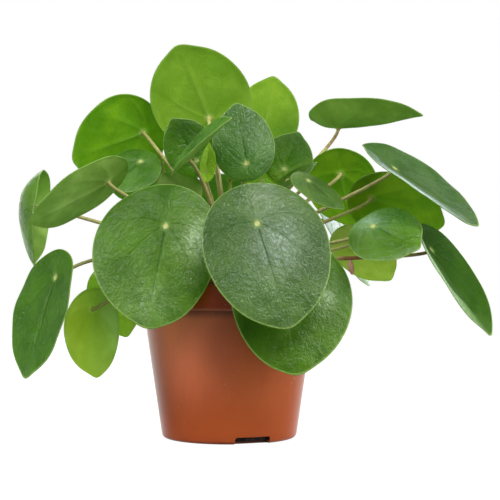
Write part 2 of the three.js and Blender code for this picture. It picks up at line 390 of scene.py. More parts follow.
@dataclass(frozen=True)
class LeafFinish:
    """A fleshy blade: waxy above, paler and matt below, with veins that spread from the stalk."""

    name: str
    upper: Rgb
    deep: Rgb
    # The pale colour of a painted sheen.
    painted_sheen: Rgb
    under: Rgb
    under_deep: Rgb
    margin: Rgb = (180, 208, 116)
    navel: Rgb = (244, 246, 160)
    roughness_above: float = 0.2
    roughness_below: float = 0.48
    sheen: float = 0.08
    glow: float = 0.34
    glow_colour: Rgb = (166, 226, 80)

    def material(self) -> bpy.types.Material:
        """Builds the material.

        Returns:
            The material. It reads the attributes "radial" (vein number, share of the way to
            the margin, millimetres from vein to vein), "blade" (across, along, side), "tint"
            (what the colour is multiplied by, which paints light and shade on the blade) and "skin"
            (gloss, and bloom: the amount of painted sheen).
        """
        shader = Shader(self.name)
        vein_number, share, spacing = shader.attribute("radial").split()
        spot = shader.attribute("blade")
        across, along, side = spot.split()
        gloss, painted_sheen, _ = shader.attribute("skin").split()
        reach = (across * across + along * along).root()
        upper = side.rise(-0.3, 0.3)
        lower = 1 - upper
        wobble = shader.grain(spot, 0.16, 3)
        off_vein = abs(vein_number - round(vein_number)) * spacing
        midrib = 1 - abs(vein_number).rise(0.4, 0.6)
        fade = share.rise(0.45, 0.95, 1, 0)
        vein = (1 - (off_vein + wobble - 0.5).rise(0.1, 1.1)) * (0.4 + 0.6 * midrib) * fade
        steps = (reach - off_vein * 0.8) / 6 + wobble * 2.2
        side_vein = 1 - abs(steps - round(steps)).rise(0.02, 0.16)
        side_vein = side_vein * share.rise(0.15, 0.4) * share.rise(0.7, 0.98, 1, 0.2)
        net = shader.cells(spot, 0.42).rise(0.0, 0.30)
        puckers = shader.grain(spot, 0.5, 1.2, 0.45, 0.8)
        fan = {0: vein_number * 12, 1: share * 7, 2: side}
        streaks = shader.node("ShaderNodeCombineXYZ", inputs=fan)
        streaks = shader.grain(streaks, 1.0, 2, 0.55, 0.8)
        swells = shader.grain(spot, 0.13, 1, 0.5, 0.6)
        blotches = shader.grain(spot, 0.045, 3, 0.55)
        speckle = shader.grain(spot, 1.1, 3, 0.65)
        front = shader.mix(blotches.rise(0.36, 0.64), self.deep, self.upper)
        # Painted sheen: pale streaks over the upper face, and more where the leaf's patches add it.
        waxy = (0.5 * streaks + 0.5 * puckers).rise(0.42, 0.66)
        front = shader.mix(waxy * self.sheen + painted_sheen * (0.5 + 0.8 * waxy), front, self.painted_sheen)
        front = shader.shade(front, 0.56 + 0.88 * speckle)
        front = shader.mix(vein * 0.35, front, self.deep)
        front = shader.mix(side_vein * 0.25, front, self.deep)
        # Painted shade: darker in the sunk veins near the stalk, most along the midrib. The same
        # mask also sinks the relief.
        groove_and_shade = (1 - off_vein.rise(0.15, 0.8)) * share.rise(0.25, 0.65, 1, 0) * reach.rise(2.5, 6)
        core = reach.most(share * 16)
        front = shader.shade(front, 1 - groove_and_shade * (0.08 + 0.5 * midrib))
        back = shader.mix(blotches.rise(0.36, 0.64), self.under_deep, self.under)
        back = shader.shade(back, 0.66 + 0.36 * speckle + 0.32 * swells)
        # A multiplier set leaf by leaf and patch by patch, which paints light and shade on both
        # faces.
        tint_and_painted_light = shader.attribute("tint_and_painted_light")
        front, back = shader.times(front, tint_and_painted_light), shader.times(back, tint_and_painted_light)
        front = shader.mix(core.rise(1.5, 4.8, 0.5, 0), front, self.margin)
        front = shader.mix(core.rise(1.0, 2.4, 1, 0), front, self.navel)
        back = shader.mix(waxy * 0.14, back, self.margin)
        back = shader.mix(vein * midrib * reach.rise(8, 26, 0.3, 0.05), back, self.margin)
        back = shader.mix(reach.rise(1.5, 4.5, 0.45, 0), back, self.navel)
        colour = shader.mix(upper, back, front)
        edge = (1 - abs(side)).most(share.rise(0.978, 0.994) * 0.7)
        colour = shader.mix(edge * 0.9, colour, self.margin)
        sunk = 0.10 * net + 0.5 * puckers + 0.42 * streaks + 0.8 * swells
        sunk = sunk - 0.3 * vein - 0.2 * side_vein - 0.2 * groove_and_shade
        proud = 0.16 * vein + 0.08 * side_vein + 0.03 * net + 0.14 * puckers
        normal = shader.bump(sunk * upper + proud * lower, 1.0)
        matt, waxed = (
            shader.surface(colour, least + 0.16 * blotches, {"IOR": ior, "Normal": normal})
            for least, ior in ((self.roughness_below, 1.2), (self.roughness_above, 1.5))
        )
        skin = shader.blend(upper * gloss, matt, waxed)
        return shader.finish(shader.blend(self.glow, skin, shader.lit_through(self.glow_colour)))


class LeafTone(Enum):
    """The greens of the plant, from the way each leaf faces the light."""

    BLUISH = LeafFinish(
        "leaf_bluish", upper=(103, 136, 65), deep=(78, 113, 49), painted_sheen=(196, 214, 190),
        under=(114, 165, 47), under_deep=(83, 132, 33),
    )
    FRESH = LeafFinish(
        "leaf_fresh", upper=(99, 144, 45), deep=(73, 116, 31), painted_sheen=(176, 206, 158),
        under=(123, 174, 40), under_deep=(95, 144, 28),
    )
    DEEP = LeafFinish(
        "leaf_deep", upper=(78, 119, 15), deep=(55, 92, 9), painted_sheen=(170, 200, 150),
        under=(100, 146, 21), under_deep=(76, 118, 12),
    )
    SUNLIT = LeafFinish(
        "leaf_sunlit", upper=(104, 162, 46), deep=(81, 137, 32), painted_sheen=(137, 183, 96),
        under=(162, 200, 48), under_deep=(139, 180, 37),
    )
    VIVID = LeafFinish(
        "leaf_vivid", upper=(84, 148, 28), deep=(62, 123, 17), painted_sheen=(116, 167, 68),
        under=(119, 175, 14), under_deep=(86, 145, 6), glow_colour=(170, 226, 96),
    )
    OLIVE = LeafFinish(
        "leaf_olive", upper=(102, 157, 45), deep=(74, 126, 30), painted_sheen=(186, 208, 170),
        under=(141, 173, 76), under_deep=(113, 144, 57),
    )
    YELLOW = LeafFinish(
        "leaf_yellow", upper=(148, 207, 48), deep=(120, 176, 36), painted_sheen=(179, 223, 92),
        under=(190, 214, 80), under_deep=(162, 188, 54), glow=0.5, glow_colour=(206, 240, 120),
    )
    # Painted reflection: a pale green with a white sheen, for a leaf that mirrors the white around
    # it.
    SILVERY = LeafFinish(
        "leaf_silvery", upper=(181, 210, 167), deep=(146, 180, 125), painted_sheen=(255, 255, 255),
        under=(157, 190, 109), under_deep=(128, 164, 75),
    )


@dataclass(frozen=True)
class StalkFinish:
    """Smooth juicy stalks: brownish red at the trunk, then olive, and pale green at the blade."""

    name: str = "stalk_skin"
    root: Rgb = (154, 112, 70)
    middle: Rgb = (204, 196, 124)
    neck: Rgb = (188, 188, 112)
    blush: Rgb = (150, 98, 62)

    def material(self) -> bpy.types.Material:
        """Builds the material, which reads the attribute "along" from root to blade.

        Returns:
            The material.
        """
        shader = Shader(self.name)
        along = shader.attribute("along", "Fac")
        tint_and_painted_light = shader.attribute("tint_and_painted_light", "Fac")
        place = shader.place()
        soft = shader.grain(place, 60, 3)
        fine = shader.grain(shader.times(place, (900, 900, 220)), 1, 3, 0.6)
        colour = shader.mix(along.rise(0.02, 0.45), self.root, self.middle)
        colour = shader.mix((along + soft * 0.3).rise(0.75, 1.15), colour, self.neck)
        colour = shader.mix(soft.rise(0.35, 0.7) * tint_and_painted_light, colour, self.blush)
        colour = shader.shade(colour, 0.82 + 0.36 * fine)
        relief = {"Normal": shader.bump(fine, 0.12, 0.7)}
        return shader.finish(shader.surface(colour, 0.34 + 0.2 * soft, relief))


@dataclass(frozen=True)
class BarkFinish:
    """The brown corky skin of the trunk, paler on the leaf scars."""

    name: str = "trunk_bark"
    dark: Rgb = (62, 44, 30)
    light: Rgb = (128, 100, 68)

    def material(self) -> bpy.types.Material:
        """Builds the material.

        Returns:
            The material.
        """
        shader = Shader(self.name)
        place = shader.place()
        cracks = shader.cells(shader.times(place, (700, 700, 260)), 1).rise(0.0, 0.25)
        soft = shader.grain(place, 220, 4, 0.6)
        colour = shader.mix(soft.rise(0.3, 0.7), self.dark, self.light)
        colour = shader.mix(1 - cracks, colour, (38, 26, 18))
        relief = {"Normal": shader.bump(cracks + soft, 0.5)}
        return shader.finish(shader.surface(colour, 0.7 + 0.2 * soft, relief))


@dataclass(frozen=True)
class BractFinish:
    """A dry papery scale with fine lengthwise nerves."""

    name: str = "dry_scale"
    body: Rgb = (246, 214, 202)
    edge: Rgb = (212, 166, 150)
    glow: float = 0.5

    def material(self) -> bpy.types.Material:
        """Builds the material.

        Returns:
            The material.
        """
        shader = Shader(self.name)
        nerves = shader.grain(shader.times(shader.place(), (1800, 1800, 120)), 1, 3)
        colour = shader.mix(nerves.rise(0.3, 0.7), self.edge, self.body)
        relief = {"Normal": shader.bump(nerves, 0.2)}
        skin = shader.surface(colour, 0.6 + 0.2 * nerves, relief)
        return shader.finish(shader.blend(self.glow, skin, shader.lit_through(self.body)))


@dataclass(frozen=True)
class SoilFinish:
    """Damp peat: near black in the hollows, brown on the crumbs, with a few pale fibres."""

    name: str = "peat"
    wet: Rgb = (30, 21, 15)
    dry: Rgb = (86, 62, 44)
    fibre: Rgb = (142, 112, 78)

    def material(self) -> bpy.types.Material:
        """Builds the material.

        Returns:
            The material.
        """
        shader = Shader(self.name)
        place = shader.place()
        lumps = shader.grain(place, 150, 5, 0.65)
        crumbs = shader.cells(place, 520, "F1").rise(0.1, 0.7)
        colour = shader.mix(lumps.rise(0.38, 0.68), self.wet, self.dry)
        colour = shader.shade(colour, 1.15 - 0.5 * crumbs)
        fibres = shader.grain(shader.times(place, (1500, 160, 400)), 1, 2, 0.5, 1.2)
        colour = shader.mix(fibres.rise(0.66, 0.74) * 0.5, colour, self.fibre)
        relief = {"Normal": shader.bump(lumps - 0.4 * crumbs, 1.2)}
        return shader.finish(shader.surface(colour, 0.82 + 0.15 * crumbs, relief))


@dataclass(frozen=True)
class PerliteFinish:
    """The white airy grains in the potting mix."""

    name: str = "perlite"
    body: Rgb = (224, 220, 208)
    stain: Rgb = (168, 154, 130)

    def material(self) -> bpy.types.Material:
        """Builds the material.

        Returns:
            The material.
        """
        shader = Shader(self.name)
        pores = shader.cells(shader.place(), 1400, "F1").rise(0.1, 0.6)
        colour = shader.mix(pores, self.body, self.stain)
        relief = {"Normal": shader.bump(pores, 0.3)}
        return shader.finish(shader.surface(colour, 0.75 + 0.2 * pores, relief))


@dataclass(frozen=True)
class PotFinish:
    """Satin moulded plastic in terracotta, a little scratched, and dusty near the foot.

    Light and shade are painted in, as photographed: a pale painted light on the upper left,
    painted shade on the lower left, on the rim band and on the inside, a painted shadow under the
    rim band and a painted highlight on the lip below it. It is a deeper orange low down.
    """

    name: str = "terracotta_plastic"
    body: Rgb = (220, 111, 56)
    deep: Rgb = (206, 98, 47)
    # The pale of real scratches, also used for a painted highlight along the lower edge of the rim
    # band.
    scratch_and_highlight: Rgb = (206, 138, 108)
    # Real dirt at the foot, and also a painted shadow just under the rim band.
    dirt_and_shadow: Rgb = (96, 44, 26)
    dust: Rgb = (240, 200, 176)
    # A darker copy of the body colour: painted shade on the inside of the wall.
    inside: Rgb = (118, 56, 34)
    # A darker red for painted shade on the rim band.
    rim: Rgb = (202, 52, 14)
    # The pale orange of a painted light on the upper left.
    painted_light_colour: Rgb = (255, 142, 98)
    low: Rgb = (200, 88, 32)

    def material(self) -> bpy.types.Material:
        """Builds the material.

        Returns:
            The material. It reads the attribute "wall": the height in millimetres, 1 on the
            outside, and a spare 0.
        """
        shader = Shader(self.name)
        height, outside, _ = shader.attribute("wall").split()
        place = shader.place()
        clouds = shader.grain(place, 16, 4, 0.55)
        orange_peel = shader.grain(place, 750, 2, 0.55)
        draw_lines = shader.grain(shader.times(place, (420, 420, 9)), 1, 3, 0.6)
        colour = shader.mix(clouds.rise(0.34, 0.66), self.deep, self.body)
        step = Pot().step
        per_radius = -1 / (60 * MM)
        left, front, _ = shader.times(place, (per_radius, per_radius, 1)).split()
        # Painted light: paler towards the upper left front, below the rim band.
        painted_light_mask = (0.8 * left + 0.6 * front).rise(0.3, 1) * (height + 16 * clouds).rise(15, 75)
        painted_light_mask = painted_light_mask * height.rise(step - 3, step, 1, 0)
        colour = shader.mix(painted_light_mask, colour, self.painted_light_colour)
        # Painted shade: darker towards the lower left front.
        shaded = (0.9 * left + 0.4 * front).rise(0.2, 1) * height.rise(6, 45, 1, 0)
        colour = shader.shade(colour, 1 - 0.42 * shaded)
        colour = shader.shade(colour, 0.94 + 0.12 * draw_lines)
        dashes = shader.grain(shader.times(place, (70, 70, 1500)), 1, 2, 0.5, 0.5)
        flecks = shader.grain(shader.times(place, (800, 800, 190)), 1, 2, 0.5, 0.8)
        worn = shader.grain(place, 55, 3, 0.6).rise(0.52, 0.66)
        marks = (dashes.rise(0.67, 0.73) + flecks.rise(0.72, 0.77)) * worn
        colour = shader.mix(marks * 0.5, colour, self.scratch_and_highlight)
        grit = shader.cells(place, 190, "F1").rise(0.04, 0.11, 1, 0)
        dusty = shader.grain(place, 42, 2).rise(0.54, 0.62) + height.rise(1.5, 4, 0.7, 0)
        colour = shader.mix(grit * dusty * 0.7, colour, self.dust)
        # Painted highlight: a pale line along the lower edge of the rim band.
        lip = height.rise(step - 0.6, step) * height.rise(step + 0.9, step + 1.6, 1, 0)
        colour = shader.mix(lip * (0.35 + 0.5 * clouds), colour, self.scratch_and_highlight)
        # Painted shadow: a dark band on the wall just under the rim band.
        painted_rim_shadow = height.rise(step - 7, step - 1.2) * height.rise(step - 0.7, step - 0.3, 1, 0)
        colour = shader.mix(painted_rim_shadow * 0.6, colour, self.dirt_and_shadow)
        foot = height.rise(1, 9, 1, 0) * shader.grain(place, 130, 4, 0.6).rise(0.35, 0.7)
        colour = shader.mix(foot * 0.5, colour, self.dirt_and_shadow)
        # Painted shade: the rim band darker and redder.
        colour = shader.mix(height.rise(step, step + 2) * 0.6, colour, self.rim)
        colour = shader.mix(height.rise(8, 42, 0.7, 0), colour, self.low)
        # Painted shade: the inside of the wall darker than the outside.
        colour = shader.mix(outside, self.inside, colour)
        relief = orange_peel * 0.5 + draw_lines * 0.3 + marks * 0.4
        other = {"IOR": 1.5, "Normal": shader.bump(relief, 0.02, 0.6)}
        return shader.finish(shader.surface(colour, 0.25 + 0.12 * clouds + 0.12 * marks, other))


@dataclass(frozen=True)
class FloorFinish:
    """A plain white sweep that is lit a little from within, so that it meets the white air."""

    name: str = "white_sweep"
    albedo: float = 0.12
    roughness: float = 0.9
    lift: float = 0.93

    def material(self) -> bpy.types.Material:
        """Builds the material.

        Returns:
            The material.
        """
        shader = Shader(self.name)
        glow = {"Emission Color": WHITE, "Emission Strength": self.lift}
        return shader.finish(shader.surface((self.albedo,) * 3 + (1,), self.roughness, glow))


# ---------- Meshes ----------


def add(name: str, data: Any) -> bpy.types.Object:
    """Puts an object with this data into the scene.

    Args:
        name: The object's name.
        data: Its mesh, light or camera.

    Returns:
        The object, at the origin.
    """
    added = bpy.data.objects.new(name, data)
    bpy.context.scene.collection.objects.link(added)
    return added


def harden(piece: bpy.types.Object) -> None:
    """Makes what a piece's modifiers give its plain mesh.

    Args:
        piece: The object.
    """
    depsgraph = bpy.context.evaluated_depsgraph_get()
    mesh = bpy.data.meshes.new_from_object(
        piece.evaluated_get(depsgraph), preserve_all_data_layers=True, depsgraph=depsgraph
    )
    piece.modifiers.clear()
    piece.data = mesh


def make_piece(
    name: str,
    points: Sequence[Sequence[float]],
    faces: Sequence[Sequence[int]],
    *materials: bpy.types.Material,
) -> bpy.types.Object:
    """Makes a smooth mesh object at the origin.

    Args:
        name: The name of the piece.
        points: Its points in millimetres.
        faces: Its faces, which point outwards.
        *materials: Its materials.

    Returns:
        The object, linked to the scene.
    """
    mesh = bpy.data.meshes.new(name)
    mesh.from_pydata([[c * MM for c in point] for point in points], [], faces)
    mesh.shade_smooth()
    for material in materials:
        mesh.materials.append(material)
    return add(name, mesh)


def store(piece: bpy.types.Object, name: str, domain: str, values: Sequence[Triple]) -> None:
    """Writes a vector attribute on a mesh.

    Args:
        piece: The object.
        name: The attribute's name.
        domain: POINT or CORNER.
        values: One vector for each point or corner.
    """
    layer = piece.data.attributes.new(name, "FLOAT_VECTOR", domain)
    layer.data.foreach_set("vector", [c for value in values for c in value])


def settle(piece: bpy.types.Object, node: str) -> bpy.types.Object:
    """Ties a finished piece to the plant, hides the solid that it stands for, and logs it.

    Args:
        piece: The object.
        node: The solid's name.

    Returns:
        The same object.
    """
    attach(piece, "root")
    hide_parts(node)
    log.info("%s: %d faces, stands for %s", piece.name, len(piece.data.polygons), node)
    return piece


@dataclass
class Lathe:
    """A closed profile turned about Z."""

    profile: list[Place]
    sides: int = 160

    def rings(self) -> list[list[Triple]]:
        """One ring of points for each point of the profile.

        Returns:
            The rings, in the profile's order.
        """
        turns = [2 * math.pi * i / self.sides for i in range(self.sides)]
        return [[(r * math.cos(t), r * math.sin(t), z) for t in turns] for r, z in self.profile]

    def faces(self) -> list[list[int]]:
        """Quads between neighbouring rings, and a fan at each end of the profile.

        Returns:
            The faces, outwards for a profile that goes up on its outside.
        """
        made = []
        for row in range(len(self.profile) - 1):
            for i in range(self.sides):
                j = (i + 1) % self.sides
                low, high = row * self.sides, (row + 1) * self.sides
                made.append([low + i, low + j, high + j, high + i])
        last = (len(self.profile) - 1) * self.sides
        made.append(list(reversed(range(self.sides))))
        made.append(list(range(last, last + self.sides)))
        return made


# ---------- The pot ----------


@dataclass
class Pot:
    """The nursery pot: tapered wall, deep rim band, flat foot and drainage slots."""

    height: float = 108
    foot_radius: float = 46
    neck_radius: float = 59.3
    rim_radius: float = 61.7
    rim_height: float = 17
    wall: float = 1.4
    skin: float = 0.95
    sharp: float = 40
    floor: float = 1.6
    foot_rounding: float = 3.2
    slot_count: int = 3
    slot_first: float = 21
    slot_width: float = 25
    slot_height: float = 5
    slot_depth: float = 7
    finish: PotFinish = field(default_factory=PotFinish)

    @property
    def step(self) -> float:
        """The height of the step under the rim band."""
        return self.height - self.rim_height

    def outer_radius(self, height: float) -> float:
        """The outside radius of the tapered wall at a height."""
        share = height / self.step
        return self.foot_radius + (self.neck_radius - self.foot_radius) * share

    def profile(self) -> list[Place]:
        """The section of the pot, from the middle of the foot round to the middle of the floor.

        Returns:
            Radius and height of each point.
        """
        step, bend, lip = self.step, self.foot_rounding, self.rim_radius
        points = [(4.0, 0.9), (self.foot_radius - 12, 0.9), (self.foot_radius - 9, 0.5)]
        points += [(self.foot_radius - 7.5, 0.0), (self.foot_radius - bend, 0.0)]
        for i in range(1, 7):
            turn = math.radians(90 * i / 6.5)
            points.append((
                self.foot_radius + 0.4 - bend + bend * math.sin(turn),
                bend * (1 - math.cos(turn)),
            ))
        points += [(self.outer_radius(z), z) for z in (5, 12, 24, 40, 56, 70, 80, 86, step - 1.6)]
        points += [
            (self.neck_radius - 0.05, step - 0.7),
            (self.neck_radius + 0.25, step - 0.25),
            (lip - 1.5, step - 0.1),
            (lip - 0.85, step + 0.05),
            (lip - 0.55, step + 0.45),
            (lip - 0.45, step + 1.1),
            (lip - 0.3, step + 6),
            (lip - 0.1, self.height - 2.4),
            (lip, self.height - 1.2),
            (lip - 0.15, self.height - 0.45),
            (lip - 0.55, self.height - 0.05),
            (lip - 1.0, self.height),
            (lip - 1.35, self.height - 0.2),
            (lip - 1.5, self.height - 0.9),
            (lip - 1.75, self.height - 8),
            (lip - 1.9, step + 1.8),
            (self.outer_radius(step) - 1.3, step + 0.4),
            (self.outer_radius(step) - self.wall, step - 1.5),
        ]
        points += [(self.outer_radius(z) - self.wall, z) for z in (60, 30, self.floor + 2)]
        points += [(self.foot_radius - 4, self.floor), (4.0, self.floor)]
        return points

    def build(self) -> bpy.types.Object:
        """Turns the pot, cuts its slots and dresses it.

        Returns:
            The finished piece.
        """
        turned = Lathe(self.profile())
        points = [point for ring in turned.rings() for point in ring]
        piece = make_piece("pot_shell", points, turned.faces(), self.finish.material())
        cutters = [self._cutter(i) for i in range(self.slot_count)]
        for cutter in cutters:
            cut = piece.modifiers.new("slot", "BOOLEAN")
            cut.object = cutter
            cut.operation = "DIFFERENCE"
            cut.solver = "EXACT"
        harden(piece)
        for cutter in cutters:
            bpy.data.objects.remove(cutter)
        piece.data.set_sharp_from_angle(angle=math.radians(self.sharp))
        places = []
        for vertex in piece.data.vertices:
            x, y, z = (c / MM for c in vertex.co)
            wall = self.outer_radius(z) if z < self.step else self.rim_radius
            places.append((z, float(math.hypot(x, y) > wall - self.skin), 0.0))
        store(piece, "wall", "POINT", places)
        return settle(piece, "pot")

    def _cutter(self, number: int) -> bpy.types.Object:
        """A box with rounded upper corners that cuts one slot.

        Args:
            number: Which slot it cuts.

        Returns:
            The box, which is taken away after the cut.
        """
        turn = math.radians(self.slot_first - 90 + 360 / self.slot_count * number)
        half, top, bend = self.slot_width / 2, self.slot_height, 1.6
        section = [(-half, -3), (half, -3)]
        for start, centre in ((0, half - bend), (90, bend - half)):
            for i in range(5):
                angle = math.radians(start + 90 * i / 4)
                section.append((
                    centre + bend * math.cos(angle), top - bend + bend * math.sin(angle),
                ))
        points = []
        for depth in (self.foot_radius - self.slot_depth, self.foot_radius + 6):
            for side, z in section:
                points.append((
                    depth * math.cos(turn) - side * math.sin(turn),
                    depth * math.sin(turn) + side * math.cos(turn),
                    z,
                ))
        count = len(section)
        faces = [[i, (i + 1) % count, count + (i + 1) % count, count + i] for i in range(count)]
        faces += [list(reversed(range(count))), [count + i for i in range(count)]]
        return make_piece(f"cutter_{number}", points, faces)


# ---------- Geometry trees ----------


class GeometryTree(Tree):
    """A geometry tree with named inputs, used once on one mesh."""

    def __init__(self, name: str) -> None:
        """Makes an empty tree that takes a geometry and gives one back.

        Args:
            name: The tree's name.
        """
        group = bpy.data.node_groups.new(name, "GeometryNodeTree")
        group.interface.new_socket("Geometry", in_out="INPUT", socket_type="NodeSocketGeometry")
        group.interface.new_socket("Geometry", in_out="OUTPUT", socket_type="NodeSocketGeometry")
        super().__init__(group)
        self.values: dict[str, Any] = {}
        self.entry = self.node("NodeGroupInput")

    def take(self, name: str, kind: str, value: Any) -> Signal:
        """Adds a named input.

        Args:
            name: The input's name.
            kind: Its socket type without the prefix, such as Float.
            value: Its value.

        Returns:
            The input as a signal.
        """
        item = self.tree.interface.new_socket(
            name, in_out="INPUT", socket_type=f"NodeSocket{kind}"
        )
        self.values[item.identifier] = value
        return self.entry.part(item.identifier)

    def finish(self, geometry: Signal, material: Signal) -> None:
        """Ends the tree in plain geometry with one material.

        Args:
            geometry: What the tree has made.
            material: The material.
        """
        real = self.node("GeometryNodeRealizeInstances", inputs={0: geometry})
        dressed = self.node(
            "GeometryNodeSetMaterial", inputs={"Geometry": real, "Material": material}
        )
        self.node("NodeGroupOutput", inputs={0: dressed})

    def apply(self, piece: bpy.types.Object) -> None:
        """Runs the tree on a piece and keeps the result as its plain mesh.

        Args:
            piece: The object.
        """
        modifier = piece.modifiers.new(self.tree.name, "NODES")
        modifier.node_group = self.tree
        for identifier, value in self.values.items():
            modifier[identifier] = value
        harden(piece)


# ---------- The soil ----------


@dataclass
class Soil:
    """The potting mix: a lumpy bed, crumbs of peat and a few grains of perlite."""

    pot: Pot
    top: float = 96
    rings: int = 26
    sides: int = 96
    lump: float = 1.6
    lump_scale: float = 0.09
    mound: float = 1.6
    mound_width: float = 14
    clearance: float = 0.3
    crumbs: float = 160000
    crumb_size: float = 1.5
    perlite: float = 5200
    perlite_size: float = 1.3
    seed: int = 11

    def build(self) -> list[bpy.types.Object]:
        """Builds the bed and strews the crumbs and grains over it.

        Returns:
            The finished pieces.
        """
        peat = SoilFinish().material()
        edge = self.pot.outer_radius(self.pot.step) - self.pot.wall - self.clearance
        floor = self.pot.floor + self.clearance
        foot = self.pot.foot_radius - 4 - self.clearance
        shares = [1 - i / self.rings for i in range(self.rings)]
        profile = [(1.0, floor), (foot, floor)]
        profile += [(self.pot.outer_radius(z) - 1.7, z) for z in (6, 30, 60, 86)]
        profile += [(edge, 91), (edge, self.top - 1)]
        profile += [(edge * share, self.top) for share in shares]
        turned = Lathe(profile, self.sides)
        points = []
        for ring in turned.rings():
            for x, y, z in ring:
                if z > self.top - 1.5:
                    rough = noise.fractal(Vector((x, y, 3)) * self.lump_scale, 1.0, 2.0, 4)
                    mound = self.mound * bell(math.hypot(x, y), self.mound_width)
                    z += self.lump * rough + mound
                points.append((x, y, z))
        bed = make_piece("soil_bed", points, turned.faces(), peat)
        crumbs = self._strewn("soil_crumbs", bed, self.crumbs, self.crumb_size, peat)
        grains = PerliteFinish().material()
        perlite = self._strewn("soil_perlite", bed, self.perlite, self.perlite_size, grains)
        return [settle(piece, "soil") for piece in (bed, crumbs, perlite)]

    def _strewn(
        self,
        name: str,
        bed: bpy.types.Object,
        density: float,
        size: float,
        material: bpy.types.Material,
    ) -> bpy.types.Object:
        """Strews grains over the top of the bed.

        Args:
            name: The new piece's name.
            bed: The bed of soil.
            density: Grains in a square metre.
            size: The width of the largest grain.
            material: What the grains are dressed in.

        Returns:
            The grains as one mesh.
        """
        piece = add(name, bed.data.copy())
        tree = GeometryTree(name)
        count = tree.take("Density", "Float", density)
        largest = tree.take("Largest", "Float", size * MM)
        seed = tree.take("Seed", "Int", self.seed + len(name))
        dress = tree.take("Material", "Material", material)
        height = tree.node("GeometryNodeInputPosition").split()[2]
        slope = tree.node("GeometryNodeInputNormal").split()[2]
        surface = height.over((self.top - 3) * MM) * slope.over(0.4)
        spread = tree.node(
            "GeometryNodeDistributePointsOnFaces",
            {"distribute_method": "RANDOM"},
            {"Mesh": tree.entry, "Selection": surface, "Density": count, "Seed": seed},
        )
        grain = tree.node("GeometryNodeMeshIcoSphere", inputs={"Radius": 0.5, "Subdivisions": 1})
        sizes, turns = (
            tree.node(
                "FunctionNodeRandomValue",
                {"data_type": "FLOAT_VECTOR"},
                {0: least, 1: most, "Seed": seed},
            )
            for least, most in (((0.3, 0.35, 0.25), (1.0, 1.1, 0.8)), ((0, 0, 0), (6.3, 6.3, 6.3)))
        )
        scale = tree.node(
            "ShaderNodeVectorMath", {"operation": "SCALE"}, {0: sizes, "Scale": largest}
        )
        grains = tree.node(
            "GeometryNodeInstanceOnPoints",
            inputs={"Points": spread, "Instance": grain, "Rotation": turns, "Scale": scale},
        )
        tree.finish(grains, dress)
        tree.apply(piece)
        return piece


# ---------- The leaves ----------


@dataclass(frozen=True)
class BladeForm:
    """What all blades have in common."""

    thickness: float = 0.95
    edge_thickness: float = 0.62
    margin: float = 0.22
    ovate: float = 0.07
    point: float = 2.5
    point_angle: float = 0.25
    sectors: int = 120
    rings: int = 30
    ring_power: float = 0.85
    full_width: float = 55
    navel_depth: float = 0.7
    navel_width: float = 3.2
    vein_angle: float = 60
    vein_bend: float = 45
    vein_depth: float = 0.24
    midrib_depth: float = 0.64
    vein_width: float = 2.0
    ripple: float = 0.35
    curl: float = 0.5
    swell: float = 1.1
    swell_scale: float = 0.05


@dataclass(frozen=True)
class StalkForm:
    """What all stalks have in common."""

    shoulder: float = 0.35
    rise: float = 0.5
    least_climb: float = 20
    neck: float = 14
    points: int = 30
    thick: float = 1.75
    thin: float = 1.2
    flare: float = 0.6
    flare_reach: float = 2.2
    young_width: float = 20
    young_share: float = 0.6


@dataclass(frozen=True)
class PaintedLight:
    """Painted light and shade on a soft part of a blade: painted shadows, highlights, sheen and
    reflections, and lighter and darker places.

    Its place is in millimetres from the stalk: forward to the tip, and sideways along the
    blade's axis across. The stretch is how much longer than wide it is. It fades out inside the
    inner share of the blade. The tint multiplies the colour, the bloom adds painted sheen, and
    the gloss is added.
    """

    forward: float
    sideways: float
    reach: float
    tint_and_painted_light: Triple = (1, 1, 1)
    painted_sheen: float = 0
    gloss: float = 0
    stretch: float = 1
    inner: float = 0


